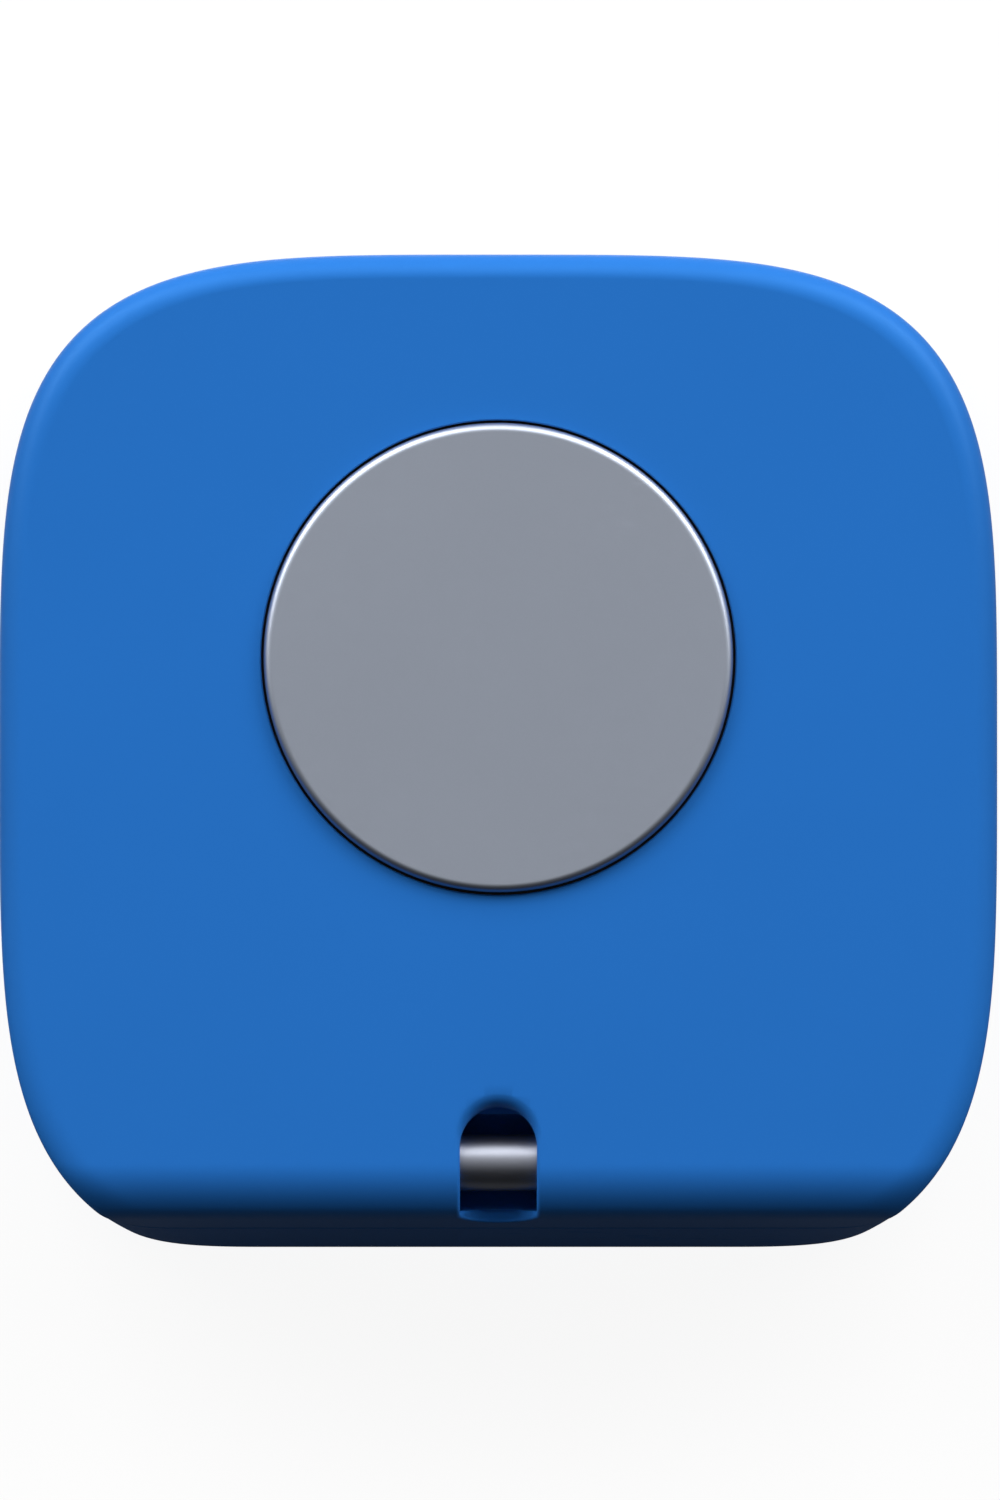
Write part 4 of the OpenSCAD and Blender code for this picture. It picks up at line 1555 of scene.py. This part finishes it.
@dataclass(frozen=True)
class CoinDoor:
    """The round battery door: lugs, seal groove, coin slot and index dimple.

    Attributes:
        lug_low: Height of the lugs' lower side.
        groove_gap: How far outside the cell the groove starts.
        edge: Rounding of the outer edge.
        coin_w: Width of the coin slot.
        coin_r: Radius of the disc that cuts it.
        coin_ease: Bevel at the slot's rims.
    """

    form: Form
    bayonet: Bayonet
    lug_low: float = 0.85 * MM
    groove_gap: float = 0.2 * MM
    groove_w: float = 1.0 * MM
    groove_d: float = 0.2 * MM
    edge: float = 0.12 * MM
    steps: int = 6
    coin_w: float = 1.8 * MM
    coin_depth: float = 0.75 * MM
    coin_r: float = 12 * MM
    coin_ease: float = 0.15 * MM
    coin_columns: int = 480
    columns: int = 720

    def coin_cut(self, face_z: float) -> Skin:
        """A disc on edge, as wide as a coin, with the rims of its sides eased.

        Args:
            face_z: Height of the door's face.

        Returns:
            The closed tool.
        """
        angle = full_turn(self.coin_columns)
        axis_y = 0 * angle + self.form.axis_y
        axis_z = face_z + self.coin_depth - self.coin_r
        side, ease = -self.coin_w / 2, self.coin_ease
        stations = [(side, self.coin_r - ease), (side + ease, self.coin_r)]
        stations += [(-y, r) for y, r in reversed(stations)]
        loops = [
            np.stack([r * np.cos(angle), axis_y + y, axis_z + r * np.sin(angle)], -1)
            for y, r in stations
        ]
        return ring_skin(np.stack(loops))

    def build(self) -> Object:
        """Turns the door's profile, whose radius grows over each lug, and cuts its slot.

        Returns:
            The dressed piece.
        """
        low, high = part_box("battery_door")
        form, bayonet, steps = self.form, self.bayonet, self.steps
        angle = full_turn(self.columns)
        door_r, wide = bayonet.door_r, bayonet.lug_angle
        lug = np.zeros(angle.shape, dtype=bool)
        for place in THIRDS:
            lug |= (np.degrees(angle) - place + wide / 2) % 360 < wide
        lug_edge = np.where(lug, bayonet.lug_r, door_r)
        groove_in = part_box("cell_can")[1].x + self.groove_gap
        rows = [form.circle(angle, door_r * k / steps, low.z) for k in range(1, steps)]
        rows += [
            form.circle(angle, door_r - self.edge + run, low.z + self.edge - rise)
            for run, rise in quarter(self.edge, self.edge, steps)
        ]
        rows += [
            form.circle(angle, door_r, self.lug_low),
            form.circle(angle, lug_edge, self.lug_low),
            form.circle(angle, lug_edge, high.z),
            form.circle(angle, groove_in + self.groove_w, high.z),
            form.circle(angle, groove_in + self.groove_w, high.z - self.groove_d),
            form.circle(angle, groove_in, high.z - self.groove_d),
            form.circle(angle, groove_in, high.z),
            form.circle(angle, groove_in / 2, high.z),
        ]
        obj = mesh_object("coin_door", [ring_skin(np.stack(rows))])
        dot = bayonet.dimple(door_r - 3 * bayonet.dot_r, math.radians(THIRDS[0]), low.z)
        combine(obj, "DIFFERENCE", [self.coin_cut(low.z), dot])
        finish_piece(obj, Body.DOOR, ["battery_door"])
        return obj


# ---------------------------------------------------------------- finishes


class Graph:
    """A short way to add and link nodes in one tree."""

    def __init__(self, tree: bpy.types.NodeTree) -> None:
        """Takes the tree that the nodes go into."""
        self.tree = tree

    @classmethod
    def fresh(cls, owner: bpy.types.Material | bpy.types.World) -> "Graph":
        """Empties the tree of a material or a world.

        Args:
            owner: The material or the world.

        Returns:
            The graph of its tree.
        """
        owner.use_nodes = True
        owner.node_tree.nodes.clear()
        return cls(owner.node_tree)

    def add(self, kind: str, inputs: dict | None = None, **settings: object) -> Node:
        """Adds a node, sets its properties and fills or links its inputs.

        Args:
            kind: The node's type name.
            inputs: Values or output sockets for the inputs, by name or number.
            settings: Properties of the node.

        Returns:
            The new node.
        """
        node = self.tree.nodes.new(kind)
        for key, value in settings.items():
            setattr(node, key, value)
        for key, value in (inputs or {}).items():
            if isinstance(value, Socket):
                self.tree.links.new(value, node.inputs[key])
            else:
                node.inputs[key].default_value = value
        return node

    def group(self, tree: bpy.types.NodeTree, **inputs: object) -> bpy.types.NodeOutputs:
        """Places one of the shared groups, with its inputs by name, and gives its outputs."""
        return self.add("ShaderNodeGroup", inputs, node_tree=tree).outputs

    def math(self, operation: str, *values: object) -> Socket:
        """Adds a Math node and gives its output."""
        return self.add("ShaderNodeMath", dict(enumerate(values)), operation=operation).outputs[0]

    def ramp(self, value: Socket, low: float, high: float, a: float, b: float) -> Socket:
        """Maps low to high onto a to b, clamped."""
        inputs = {"Value": value, "From Min": low, "From Max": high, "To Min": a, "To Max": b}
        return self.add("ShaderNodeMapRange", inputs).outputs["Result"]

    def mix(self, factor: object, a: object, b: object) -> Socket:
        """Adds a colour mix and gives its output."""
        return self.add("ShaderNodeMix", {0: factor, 6: a, 7: b}, data_type="RGBA").outputs[2]

    def choose(self, factor: Socket, a: object, b: object) -> Socket:
        """Adds a mix of two numbers and gives its output."""
        return self.add("ShaderNodeMix", {0: factor, 2: a, 3: b}, data_type="FLOAT").outputs[0]

    def noise(self, vector: Socket, scale: object, **inputs: float) -> Socket:
        """Adds a noise, with more of its inputs by name, and gives its value."""
        inputs = {"Vector": vector, "Scale": scale, **inputs}
        return self.add("ShaderNodeTexNoise", inputs).outputs[0]

    def along(self, output: str) -> Socket:
        """The second of the three coordinates that an output of Texture Coordinate gives."""
        place = self.add("ShaderNodeTexCoord").outputs[output]
        return self.add("ShaderNodeSeparateXYZ", {0: place}).outputs[1]


def make_group(
    name: str,
    inputs: Sequence[tuple[str, str, object]],
    outputs: Sequence[tuple[str, str]],
    fill: Callable[[Graph, Node], dict[str, Socket]],
) -> bpy.types.NodeTree:
    """Builds a shader node group.

    Args:
        name: The group's name.
        inputs: Name, kind (Float, Color or Vector) and default of each input.
        outputs: Name and kind of each output.
        fill: Adds the nodes and gives the socket for each output.

    Returns:
        The group's tree.
    """
    tree = bpy.data.node_groups.new(name, "ShaderNodeTree")
    for label, kind, default in inputs:
        socket = tree.interface.new_socket(label, in_out="INPUT", socket_type=f"NodeSocket{kind}")
        if default is not None:
            socket.default_value = default
    for label, kind in outputs:
        tree.interface.new_socket(label, in_out="OUTPUT", socket_type=f"NodeSocket{kind}")
    graph = Graph(tree)
    entry = graph.add("NodeGroupInput")
    results = fill(graph, entry)
    graph.add("NodeGroupOutput", results)
    return tree


def fill_grain(graph: Graph, entry: Node) -> dict[str, Socket]:
    """Fine grain of a textured mould or blasted metal: two noises, one four times finer.

    The height is 0.65 of the coarse noise and 0.35 of the fine one.

    Args:
        graph: The group's tree.
        entry: The group's input node.

    Returns:
        Height and Speckle.
    """
    vector, scale = entry.outputs["Vector"], entry.outputs["Scale"]
    coarse = graph.noise(vector, scale, Detail=3.0, Roughness=0.6)
    fine = graph.noise(vector, graph.math("MULTIPLY", scale, 4.0), Detail=2.0)
    parts = graph.math("MULTIPLY", coarse, 0.65), graph.math("MULTIPLY", fine, 0.35)
    height = graph.math("ADD", *parts)
    return {"Height": height, "Speckle": graph.ramp(fine, 0.35, 0.65, 0.0, 1.0)}


def fill_drift(graph: Graph, entry: Node) -> dict[str, Socket]:
    """Slow change of tone over a surface: a low noise mixes the colour towards another.

    Args:
        graph: The group's tree.
        entry: The group's input node.

    Returns:
        Colour and Mask.
    """
    given = entry.outputs
    noise = graph.noise(given["Vector"], given["Scale"], Detail=2.0, Distortion=0.4)
    mask = graph.ramp(noise, 0.3, 0.7, 0.0, 1.0)
    factor = graph.math("MULTIPLY", mask, given["Amount"])
    return {"Colour": graph.mix(factor, given["Colour"], given["Other"]), "Mask": mask}


def fill_marks(graph: Graph, entry: Node) -> dict[str, Socket]:
    """Faint handling marks: thin streaks of a stretched noise, thinned out by a second.

    Args:
        graph: The group's tree.
        entry: The group's input node.

    Returns:
        Mask.
    """
    vector, scale = entry.outputs["Vector"], entry.outputs["Scale"]
    stretch = {"Vector": vector, "Scale": (1.0, 9.0, 3.0), "Rotation": (0.2, 0.1, 0.7)}
    stretched = graph.add("ShaderNodeMapping", stretch).outputs[0]
    streak = graph.noise(stretched, scale, Detail=4.0, Roughness=0.7)
    patch = graph.noise(vector, graph.math("MULTIPLY", scale, 0.35))
    lines = graph.ramp(streak, 0.6, 0.66, 0.0, 1.0)
    gate = graph.ramp(patch, 0.5, 0.62, 0.0, 1.0)
    return {"Mask": graph.math("MULTIPLY", lines, gate)}


def fill_rings(graph: Graph, entry: Node) -> dict[str, Socket]:
    """Turning marks: a noise of the distance from the part's axis, the same all the way round.

    Args:
        graph: The group's tree.
        entry: The group's input node.

    Returns:
        Height.
    """
    split = graph.add("ShaderNodeSeparateXYZ", {0: entry.outputs["Vector"]}).outputs
    squares = [graph.math("POWER", split[k], 2.0) for k in (0, 1)]
    radius = graph.math("SQRT", graph.math("ADD", *squares))
    track = graph.add("ShaderNodeCombineXYZ", {0: radius}).outputs[0]
    return {"Height": graph.noise(track, entry.outputs["Scale"], Detail=3.0, Roughness=0.7)}


GRAIN = make_group(
    "fine_grain",
    [("Vector", "Vector", None), ("Scale", "Float", 4000.0)],
    [("Height", "Float"), ("Speckle", "Float")],
    fill_grain,
)
DRIFT = make_group(
    "tone_drift",
    [
        ("Vector", "Vector", None),
        ("Colour", "Color", (0.5, 0.5, 0.5, 1.0)),
        ("Other", "Color", (0.4, 0.4, 0.4, 1.0)),
        ("Scale", "Float", 60.0),
        ("Amount", "Float", 0.5),
    ],
    [("Colour", "Color"), ("Mask", "Float")],
    fill_drift,
)
MARKS = make_group(
    "handling_marks",
    [("Vector", "Vector", None), ("Scale", "Float", 300.0)],
    [("Mask", "Float")],
    fill_marks,
)
RINGS = make_group(
    "turning_rings",
    [("Vector", "Vector", None), ("Scale", "Float", 5000.0)],
    [("Height", "Float")],
    fill_rings,
)


def opaque(colour: Colour) -> tuple[float, float, float, float]:
    """The colour with an alpha of one."""
    return (*colour, 1.0)


def darker(colour: Colour, factor: float) -> Colour:
    """The colour scaled by a factor."""
    return tuple(channel * factor for channel in colour)


MARKS_SCALE = 0.08  # scale of the handling marks for each grain per metre
GLOSS_SPAN = (0.94, 1.06)  # share of the roughness between the grains and on them
GRAIN_TONE = 0.7  # how bright the grains' own colour is beside the base colour
GRAIN_SHOWS = 0.06  # how much of it shows


@dataclass(frozen=True)
class Finish:
    """A surface finish: base tone, gloss, grain and marks.

    Attributes:
        slot: The material slot that takes the finish.
        colour: Base colour.
        other: The tone that the colour drifts towards.
        roughness: Roughness where the surface is untouched.
        metallic: One for metals.
        drift: How far the colour drifts, from 0 to 1.
        drift_scale: Drift patches per metre.
        grain: Grains per metre.
        grain_height: Height of the grain's bump, in metres.
        marks: How much handling marks change the roughness.
        specular: Specular level of the shader.
        sheen_tone: Tone of the specular reflection.
        coat: Weight of a clear coat.
    """

    slot: Slot
    colour: Colour
    other: Colour
    roughness: float
    metallic: float = 0.0
    drift: float = 0.5
    drift_scale: float = 90.0
    grain: float = 5000.0
    grain_height: float = 4e-6
    marks: float = 0.05
    specular: float = 0.5
    sheen_tone: Colour = (1.0, 1.0, 1.0)
    coat: float = 0.0

    def build(self) -> bpy.types.Material:
        """Makes the material, with the pattern on object coordinates.

        Returns:
            The material.
        """
        material = bpy.data.materials.new(f"finish_{self.slot.value}")
        graph = Graph.fresh(material)
        vector = graph.add("ShaderNodeTexCoord").outputs["Object"]
        drift = graph.group(
            DRIFT, Vector=vector, Colour=opaque(self.colour), Other=opaque(self.other),
            Scale=self.drift_scale, Amount=self.drift,
        )
        grain = graph.group(GRAIN, Vector=vector, Scale=self.grain)
        marks = graph.group(MARKS, Vector=vector, Scale=self.grain * MARKS_SCALE)
        colour = self.tint(graph, drift["Colour"], grain["Speckle"], vector)
        low, high = (self.roughness * share for share in GLOSS_SPAN)
        rough = graph.math(
            "ADD",
            graph.ramp(grain["Speckle"], 0.0, 1.0, low, high),
            graph.math("MULTIPLY", marks["Mask"], self.marks),
        )
        height = self.relief(graph, grain["Height"], vector)
        bump = graph.add(
            "ShaderNodeBump", {"Height": height, "Strength": 1.0, "Distance": self.grain_height}
        )
        shader = graph.add(
            "ShaderNodeBsdfPrincipled",
            {
                "Base Color": colour,
                "Roughness": rough,
                "Normal": bump.outputs[0],
                "Metallic": self.metallic,
                "Specular IOR Level": self.specular,
                "Specular Tint": opaque(self.sheen_tone),
                "Coat Weight": self.coat,
            },
        )
        graph.add("ShaderNodeOutputMaterial", {0: shader.outputs[0]}, is_active_output=True)
        return material

    def tint(self, graph: Graph, colour: Socket, speckle: Socket, vector: Socket) -> Socket:
        """The final colour: grains a touch darker than the tone between them.

        Args:
            graph: The material's tree.
            colour: The drifting colour.
            speckle: One on the grains and nought between them.
            vector: Coordinates that a pattern may read; not used here.

        Returns:
            The colour.
        """
        grains = opaque(darker(self.colour, GRAIN_TONE))
        return graph.mix(graph.math("MULTIPLY", speckle, GRAIN_SHOWS), colour, grains)

    def relief(self, graph: Graph, height: Socket, vector: Socket) -> Socket:
        """The height that the bump reads."""
        return height


@dataclass(frozen=True)
class TurnedFinish(Finish):
    """Metal faced on a lathe and blasted: rings about an axis under the grain."""

    axis: Point = (0.0, 0.0, 0.0)
    ring_scale: float = 9000.0
    ring_share: float = 0.4

    def relief(self, graph: Graph, height: Socket, vector: Socket) -> Socket:
        """Adds the turning rings to the grain.

        Args:
            graph: The material's tree.
            height: Height of the grain.
            vector: Coordinates that the rings read.

        Returns:
            The height that the bump reads.
        """
        shift = {"Vector": vector, "Location": tuple(-place for place in self.axis)}
        centred = graph.add("ShaderNodeMapping", shift).outputs[0]
        rings = graph.group(RINGS, Vector=centred, Scale=self.ring_scale)
        return graph.math(
            "ADD",
            graph.math("MULTIPLY", height, 1 - self.ring_share),
            graph.math("MULTIPLY", rings["Height"], self.ring_share),
        )


@dataclass(frozen=True)
class BoardFinish(Finish):
    """Solder mask over laminate, with thin tracks across it.

    Attributes:
        track: Colour of the tracks.
        cells: Cells of the pattern per metre.
        lines: Tracks across a cell's distance of one.
        line_width: Share of the room between tracks that a track takes.
        line_shows: How much of the tracks' colour shows.
    """

    track: Colour = (0.02, 0.16, 0.07)
    cells: float = 420.0
    lines: float = 5.0
    line_width: float = 0.22
    line_shows: float = 0.8

    def tint(self, graph: Graph, colour: Socket, speckle: Socket, vector: Socket) -> Socket:
        """Lays tracks over the mask: the thin contour lines of a blocky Voronoi distance.

        Args:
            graph: The material's tree.
            colour: The drifting colour.
            speckle: One on the grains and nought between them; not used here.
            vector: Coordinates that the tracks read.

        Returns:
            The colour.
        """
        cells = graph.add(
            "ShaderNodeTexVoronoi", {"Vector": vector, "Scale": self.cells}, distance="MANHATTAN"
        ).outputs["Distance"]
        wave = graph.math("FRACT", graph.math("MULTIPLY", cells, self.lines))
        line = graph.math("LESS_THAN", wave, self.line_width)
        return graph.mix(
            graph.math("MULTIPLY", line, self.line_shows), colour, opaque(self.track)
        )


def finishes(form: Form) -> list[Finish]:
    """Every finish of the tag, one for each material slot.

    Args:
        form: The form, for the axis of the turned parts.

    Returns:
        The finishes.
    """
    blue: Colour = (0.0175, 0.150, 0.515)
    steel: Colour = (0.56, 0.57, 0.58)
    brass: Colour = (0.78, 0.58, 0.30)
    shell = partial(Finish, colour=blue, specular=0.3, sheen_tone=(0.2, 0.55, 1.0))
    metal = partial(Finish, metallic=1.0)
    turned = partial(TurnedFinish, metallic=1.0, axis=form.foot)
    return [
        shell(
            Slot.FRONT, other=darker(blue, 0.93), roughness=0.42, drift=0.35,
            grain_height=1.6e-6, marks=0.06,
        ),
        shell(
            Slot.REAR, other=darker(blue, 0.9), roughness=0.46, drift=0.4,
            grain_height=3e-6, marks=0.08,
        ),
        shell(
            Slot.DOOR, other=darker(blue, 0.9), roughness=0.48, drift=0.4,
            grain_height=3e-6, marks=0.1,
        ),
        turned(
            Slot.CAP, (0.36, 0.396, 0.47), (0.33, 0.362, 0.43), 0.42, drift=0.3,
            grain=9000.0, grain_height=1.2e-6, marks=0.04, ring_share=0.35,
        ),
        metal(
            Slot.BAR, (0.25, 0.265, 0.31), (0.22, 0.23, 0.27), 0.38, drift=0.4,
            grain=7000.0, grain_height=0.6e-6, marks=0.12,
        ),
        Finish(Slot.SEAL, (0.018, 0.018, 0.019), (0.03, 0.03, 0.03), 0.62, grain_height=5e-6),
        Finish(Slot.FILM, (0.72, 0.70, 0.64), (0.6, 0.58, 0.52), 0.35, grain_height=2e-6),
        Finish(Slot.CARRIER, (0.03, 0.032, 0.036), (0.045, 0.047, 0.05), 0.5, grain_height=5e-6),
        Finish(
            Slot.SILICONE, (0.52, 0.54, 0.56), (0.45, 0.47, 0.5), 0.55,
            grain_height=3e-6, specular=0.4,
        ),
        metal(Slot.SPRING, steel, darker(steel, 0.8), 0.28, grain_height=1.5e-6, marks=0.15),
        BoardFinish(
            Slot.LAMINATE, (0.008, 0.085, 0.035), (0.012, 0.11, 0.045), 0.3,
            grain_height=4e-6, coat=0.4,
        ),
        metal(
            Slot.SCREW, darker(steel, 0.75), darker(steel, 0.5), 0.3,
            grain_height=2e-6, marks=0.2,
        ),
        Finish(Slot.EPOXY, (0.012, 0.012, 0.013), (0.02, 0.02, 0.021), 0.55, grain_height=6e-6),
        metal(Slot.CRYSTAL, (0.7, 0.69, 0.66), (0.6, 0.59, 0.56), 0.22, grain_height=1e-6),
        Finish(Slot.ANTENNA, (0.62, 0.66, 0.68), (0.55, 0.6, 0.62), 0.4, grain_height=3e-6),
        Finish(Slot.CAPACITOR, (0.52, 0.3, 0.05), (0.44, 0.24, 0.04), 0.4, grain_height=4e-6),
        Finish(Slot.PASSIVE, (0.2, 0.13, 0.085), (0.15, 0.1, 0.065), 0.45, grain_height=4e-6),
        metal(Slot.SOUNDER, brass, darker(brass, 0.8), 0.3, grain_height=2e-6, marks=0.15),
        metal(Slot.CONTACT, (0.83, 0.66, 0.36), (0.7, 0.52, 0.25), 0.25, grain_height=1.5e-6),
        turned(
            Slot.CELL, (0.62, 0.62, 0.61), (0.5, 0.5, 0.49), 0.26,
            grain_height=1.5e-6, marks=0.15, ring_share=0.6,
        ),
        Finish(Slot.ELECTRODE, (0.05, 0.05, 0.055), (0.08, 0.08, 0.085), 0.7, grain_height=8e-6),
    ]


def dress(
    materials: dict[str, bpy.types.Material], pieces: Sequence[tuple[Object, Slot]]
) -> None:
    """Gives every CAD node and every new piece the finish of its slot.

    Args:
        materials: The materials, by slot.
        pieces: New pieces, each with its slot.
    """
    for part in frame["record"]["subparts"]:
        obj = frame["nodes"][part["node"]]
        for index in range(len(obj.material_slots)):
            obj.material_slots[index].material = materials[part["material_slot"]]
        log.info("%s: finish %s", part["node"], part["material_slot"])
    for obj, slot in pieces:
        obj.data.materials.clear()
        obj.data.materials.append(materials[slot.value])


# ---------------------------------------------------------------- stage


@dataclass(frozen=True)
class Lamp:
    """A rectangular soft light that looks at the tag.

    Attributes:
        name: The light's name.
        azimuth: Degrees from +Y towards +X.
        elevation: Degrees above the floor.
        distance: Distance from the face, in metres.
        size: Width and height, in metres.
        level: Share of white that it gives a level face that scatters all light.
    """

    name: str
    azimuth: float
    elevation: float
    distance: float
    size: tuple[float, float]
    level: float

    def build(self, target: Vector) -> None:
        """Adds the light, turned towards the target.

        A level e needs e * pi^2 * distance^2 / |sin(elevation)| watts.

        Args:
            target: The point that it looks at.
        """
        turn, rise = math.radians(self.azimuth), math.radians(self.elevation)
        level = math.cos(rise)
        away = Vector((math.sin(turn) * level, math.cos(turn) * level, math.sin(rise)))
        data = bpy.data.lights.new(self.name, "AREA")
        data.shape = "RECTANGLE"
        data.size, data.size_y = self.size
        data.energy = self.level * math.pi**2 * self.distance**2 / abs(math.sin(rise))
        obj = add_object(self.name, data)
        obj.location = target + away * self.distance
        obj.rotation_euler = (-away).to_track_quat("-Z", "Y").to_euler()


@dataclass(frozen=True)
class Studio:
    """The floor, the world, the lamps and the camera.

    The light comes from behind the tag, and the room falls off into shade towards the bar.
    One lamp under the floor, which it shines through, shows the battery door from below.

    Attributes:
        form: The tag's form.
        floor_size: Side of the floor.
        floor_drop: How far the floor lies under the rear face.
        floor_glow: Brightness of the floor to the camera.
        floor_lit: Share of the lamps' light that the floor sends back.
        floor_span: Where along the floor its reflection goes from shade to light.
        room_span: The same for the surround, by the heading's share of +Y.
        shade: Share of the brightness that is left in the shade.
        ambient: Strength of the surround as a light.
        ambient_shade: Share of it that is left towards -Y.
        distance: From the camera to the point that it looks at.
        elevation: Degrees of the camera above the floor.
        view_height: Height of what the camera takes in.
        sensor: Side of the camera's sensor, in millimetres.
        clip: Nearest and farthest that the camera sees.
        aim_x: How far beside the middle the camera looks.
        aim_up: How far above the middle it looks.
        lamps: The lamps.
    """

    form: Form
    floor_size: float = 4.0
    floor_drop: float = 0.02 * MM
    floor_glow: float = 0.92
    floor_lit: float = 0.09
    floor_span: tuple[float, float] = (-0.01, 0.06)
    room_span: tuple[float, float] = (-0.5, 0.5)
    shade: float = 0.03
    ambient: float = 0.11
    ambient_shade: float = 0.45
    distance: float = 1.5
    elevation: float = 90.0
    view_height: float = 55.6 * MM
    sensor: float = 36.0
    clip: tuple[float, float] = (0.05, 10.0)
    aim_x: float = 0.06 * MM
    aim_up: float = 0.075 * MM
    lamps: tuple[Lamp, ...] = (
        Lamp("left_low", -38.0, 18.0, 0.9, (0.7, 0.26), 0.12),
        Lamp("right_low", 38.0, 18.0, 0.9, (0.7, 0.26), 0.13),
        Lamp("left_bank", -30.0, 33.0, 0.9, (0.5, 0.3), 0.19),
        Lamp("right_bank", 30.0, 33.0, 0.9, (0.5, 0.3), 0.19),
        Lamp("right_side", 62.0, 28.0, 0.9, (0.4, 0.3), 0.12),
        Lamp("left_side", -62.0, 28.0, 0.9, (0.4, 0.3), 0.12),
        Lamp("back_high", 0.0, 50.0, 0.9, (0.6, 0.3), 0.13),
        Lamp("under", -20.0, -74.0, 0.9, (0.5, 0.4), 0.9),
    )

    def rays(self, graph: Graph) -> tuple[Socket, Socket]:
        """Masks of the camera's rays, and of those that metal and glass send on.

        Args:
            graph: The tree that the nodes go into.

        Returns:
            The two masks.
        """
        path = graph.add("ShaderNodeLightPath").outputs
        sent = graph.math("MAXIMUM", path["Is Glossy Ray"], path["Is Transmission Ray"])
        return path["Is Camera Ray"], sent

    def glow(
        self,
        graph: Graph,
        along: Socket,
        span: tuple[float, float],
        full: float,
        rest: tuple[float, float],
    ) -> Socket:
        """Strength of a surround: full to the camera, shaded towards -Y to metal and glass.

        Args:
            graph: The tree that the nodes go into.
            along: The coordinate that grows towards +Y.
            span: The coordinates between which the shade turns to light.
            full: Strength that the camera sees.
            rest: Strength in the shade and in the light for all other rays.

        Returns:
            The strength for an emitting shader.
        """
        camera, sent = self.rays(graph)
        shaded = graph.ramp(along, *span, full * self.shade, full)
        other = graph.ramp(along, *span, *rest)
        return graph.choose(camera, graph.choose(sent, other, shaded), full)

    def floor(self) -> None:
        """A pale floor that keeps the tag's shadow.

        It is clear from below, and to the light of the lamp under it.
        """
        half, z = self.floor_size / 2, -self.floor_drop
        mesh = bpy.data.meshes.new("floor")
        corners = [(-half, -half, z), (half, -half, z), (half, half, z), (-half, half, z)]
        mesh.from_pydata(corners, [], [(0, 1, 2, 3)])
        obj = add_object("floor", mesh)
        material = bpy.data.materials.new("floor_paper")
        graph = Graph.fresh(material)
        along = graph.along("Object")
        strength = self.glow(graph, along, self.floor_span, self.floor_glow, (0.0, 0.0))
        lit = graph.add("ShaderNodeBsdfDiffuse", {"Color": opaque((self.floor_lit,) * 3)})
        shine = graph.add("ShaderNodeEmission", {"Strength": strength})
        both = graph.add("ShaderNodeAddShader", {0: lit.outputs[0], 1: shine.outputs[0]})
        behind = graph.add("ShaderNodeNewGeometry").outputs["Backfacing"]
        passing = graph.add("ShaderNodeLightPath").outputs["Is Shadow Ray"]
        clear = graph.add("ShaderNodeBsdfTransparent")
        sided = graph.add(
            "ShaderNodeMixShader",
            {0: graph.math("MAXIMUM", behind, passing), 1: both.outputs[0], 2: clear.outputs[0]},
        )
        graph.add("ShaderNodeOutputMaterial", {0: sided.outputs[0]})
        mesh.materials.append(material)

    def world(self) -> None:
        """A white surround for what is seen, and a weaker one for what is lit."""
        world = bpy.data.worlds.new("studio")
        bpy.context.scene.world = world
        graph = Graph.fresh(world)
        rest = (self.ambient * self.ambient_shade, self.ambient)
        strength = self.glow(graph, graph.along("Generated"), self.room_span, 1.0, rest)
        white = opaque((1.0, 1.0, 1.0))
        back = graph.add("ShaderNodeBackground", {"Strength": strength, "Color": white})
        graph.add("ShaderNodeOutputWorld", {0: back.outputs[0]})

    def camera(self) -> None:
        """A long lens that looks straight at the face, with the bar at the foot of the frame."""
        rise = math.radians(self.elevation)
        up = Vector((0.0, math.sin(rise), math.cos(rise)))
        back = Vector((0.0, -math.cos(rise), math.sin(rise)))
        middle = Vector((self.aim_x, 0.0, self.form.front_z)) + up * self.aim_up
        data = bpy.data.cameras.new("camera")
        data.type = "PERSP"
        data.sensor_width = self.sensor
        data.lens = self.sensor / 2 / (self.view_height / 2 / self.distance)
        data.clip_start, data.clip_end = self.clip
        obj = add_object("camera", data)
        obj.location = middle + back * self.distance
        obj.rotation_euler = Matrix((up.cross(back), up, back)).transposed().to_euler()
        bpy.context.scene.camera = obj

    def build(self) -> None:
        """Sets up everything round the tag."""
        bpy.context.scene.view_settings.view_transform = "Standard"
        self.camera()
        self.floor()
        self.world()
        for lamp in self.lamps:
            lamp.build(Vector((0.0, 0.0, self.form.front_z)))


def main() -> None:
    """Builds every piece in order and reports it."""
    logging.basicConfig(level=logging.INFO, format="%(name)s: %(message)s")
    for name in STARTUP_OBJECTS:
        if name in bpy.data.objects:
            bpy.data.objects.remove(bpy.data.objects[name])
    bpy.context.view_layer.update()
    form = Form.from_frame()
    Studio(form).build()
    roll = RollOff(form)
    slot = LanyardSlot.from_frame(form)
    hook = SnapHook(form)
    bayonet = Bayonet.from_frame(form)
    pieces = [
        (FrontShell(form, roll, slot, hook).build(), Slot.FRONT),
        (RearShell(form, hook, bayonet).build(), Slot.REAR),
        (ButtonCap(form).build(), Slot.CAP),
        (LanyardBar(slot).build(), Slot.BAR),
        (CoinDoor(form, bayonet).build(), Slot.DOOR),
    ]
    materials = {finish.slot.value: finish.build() for finish in finishes(form)}
    dress(materials, pieces)


if __name__ == "__main__":
    main()
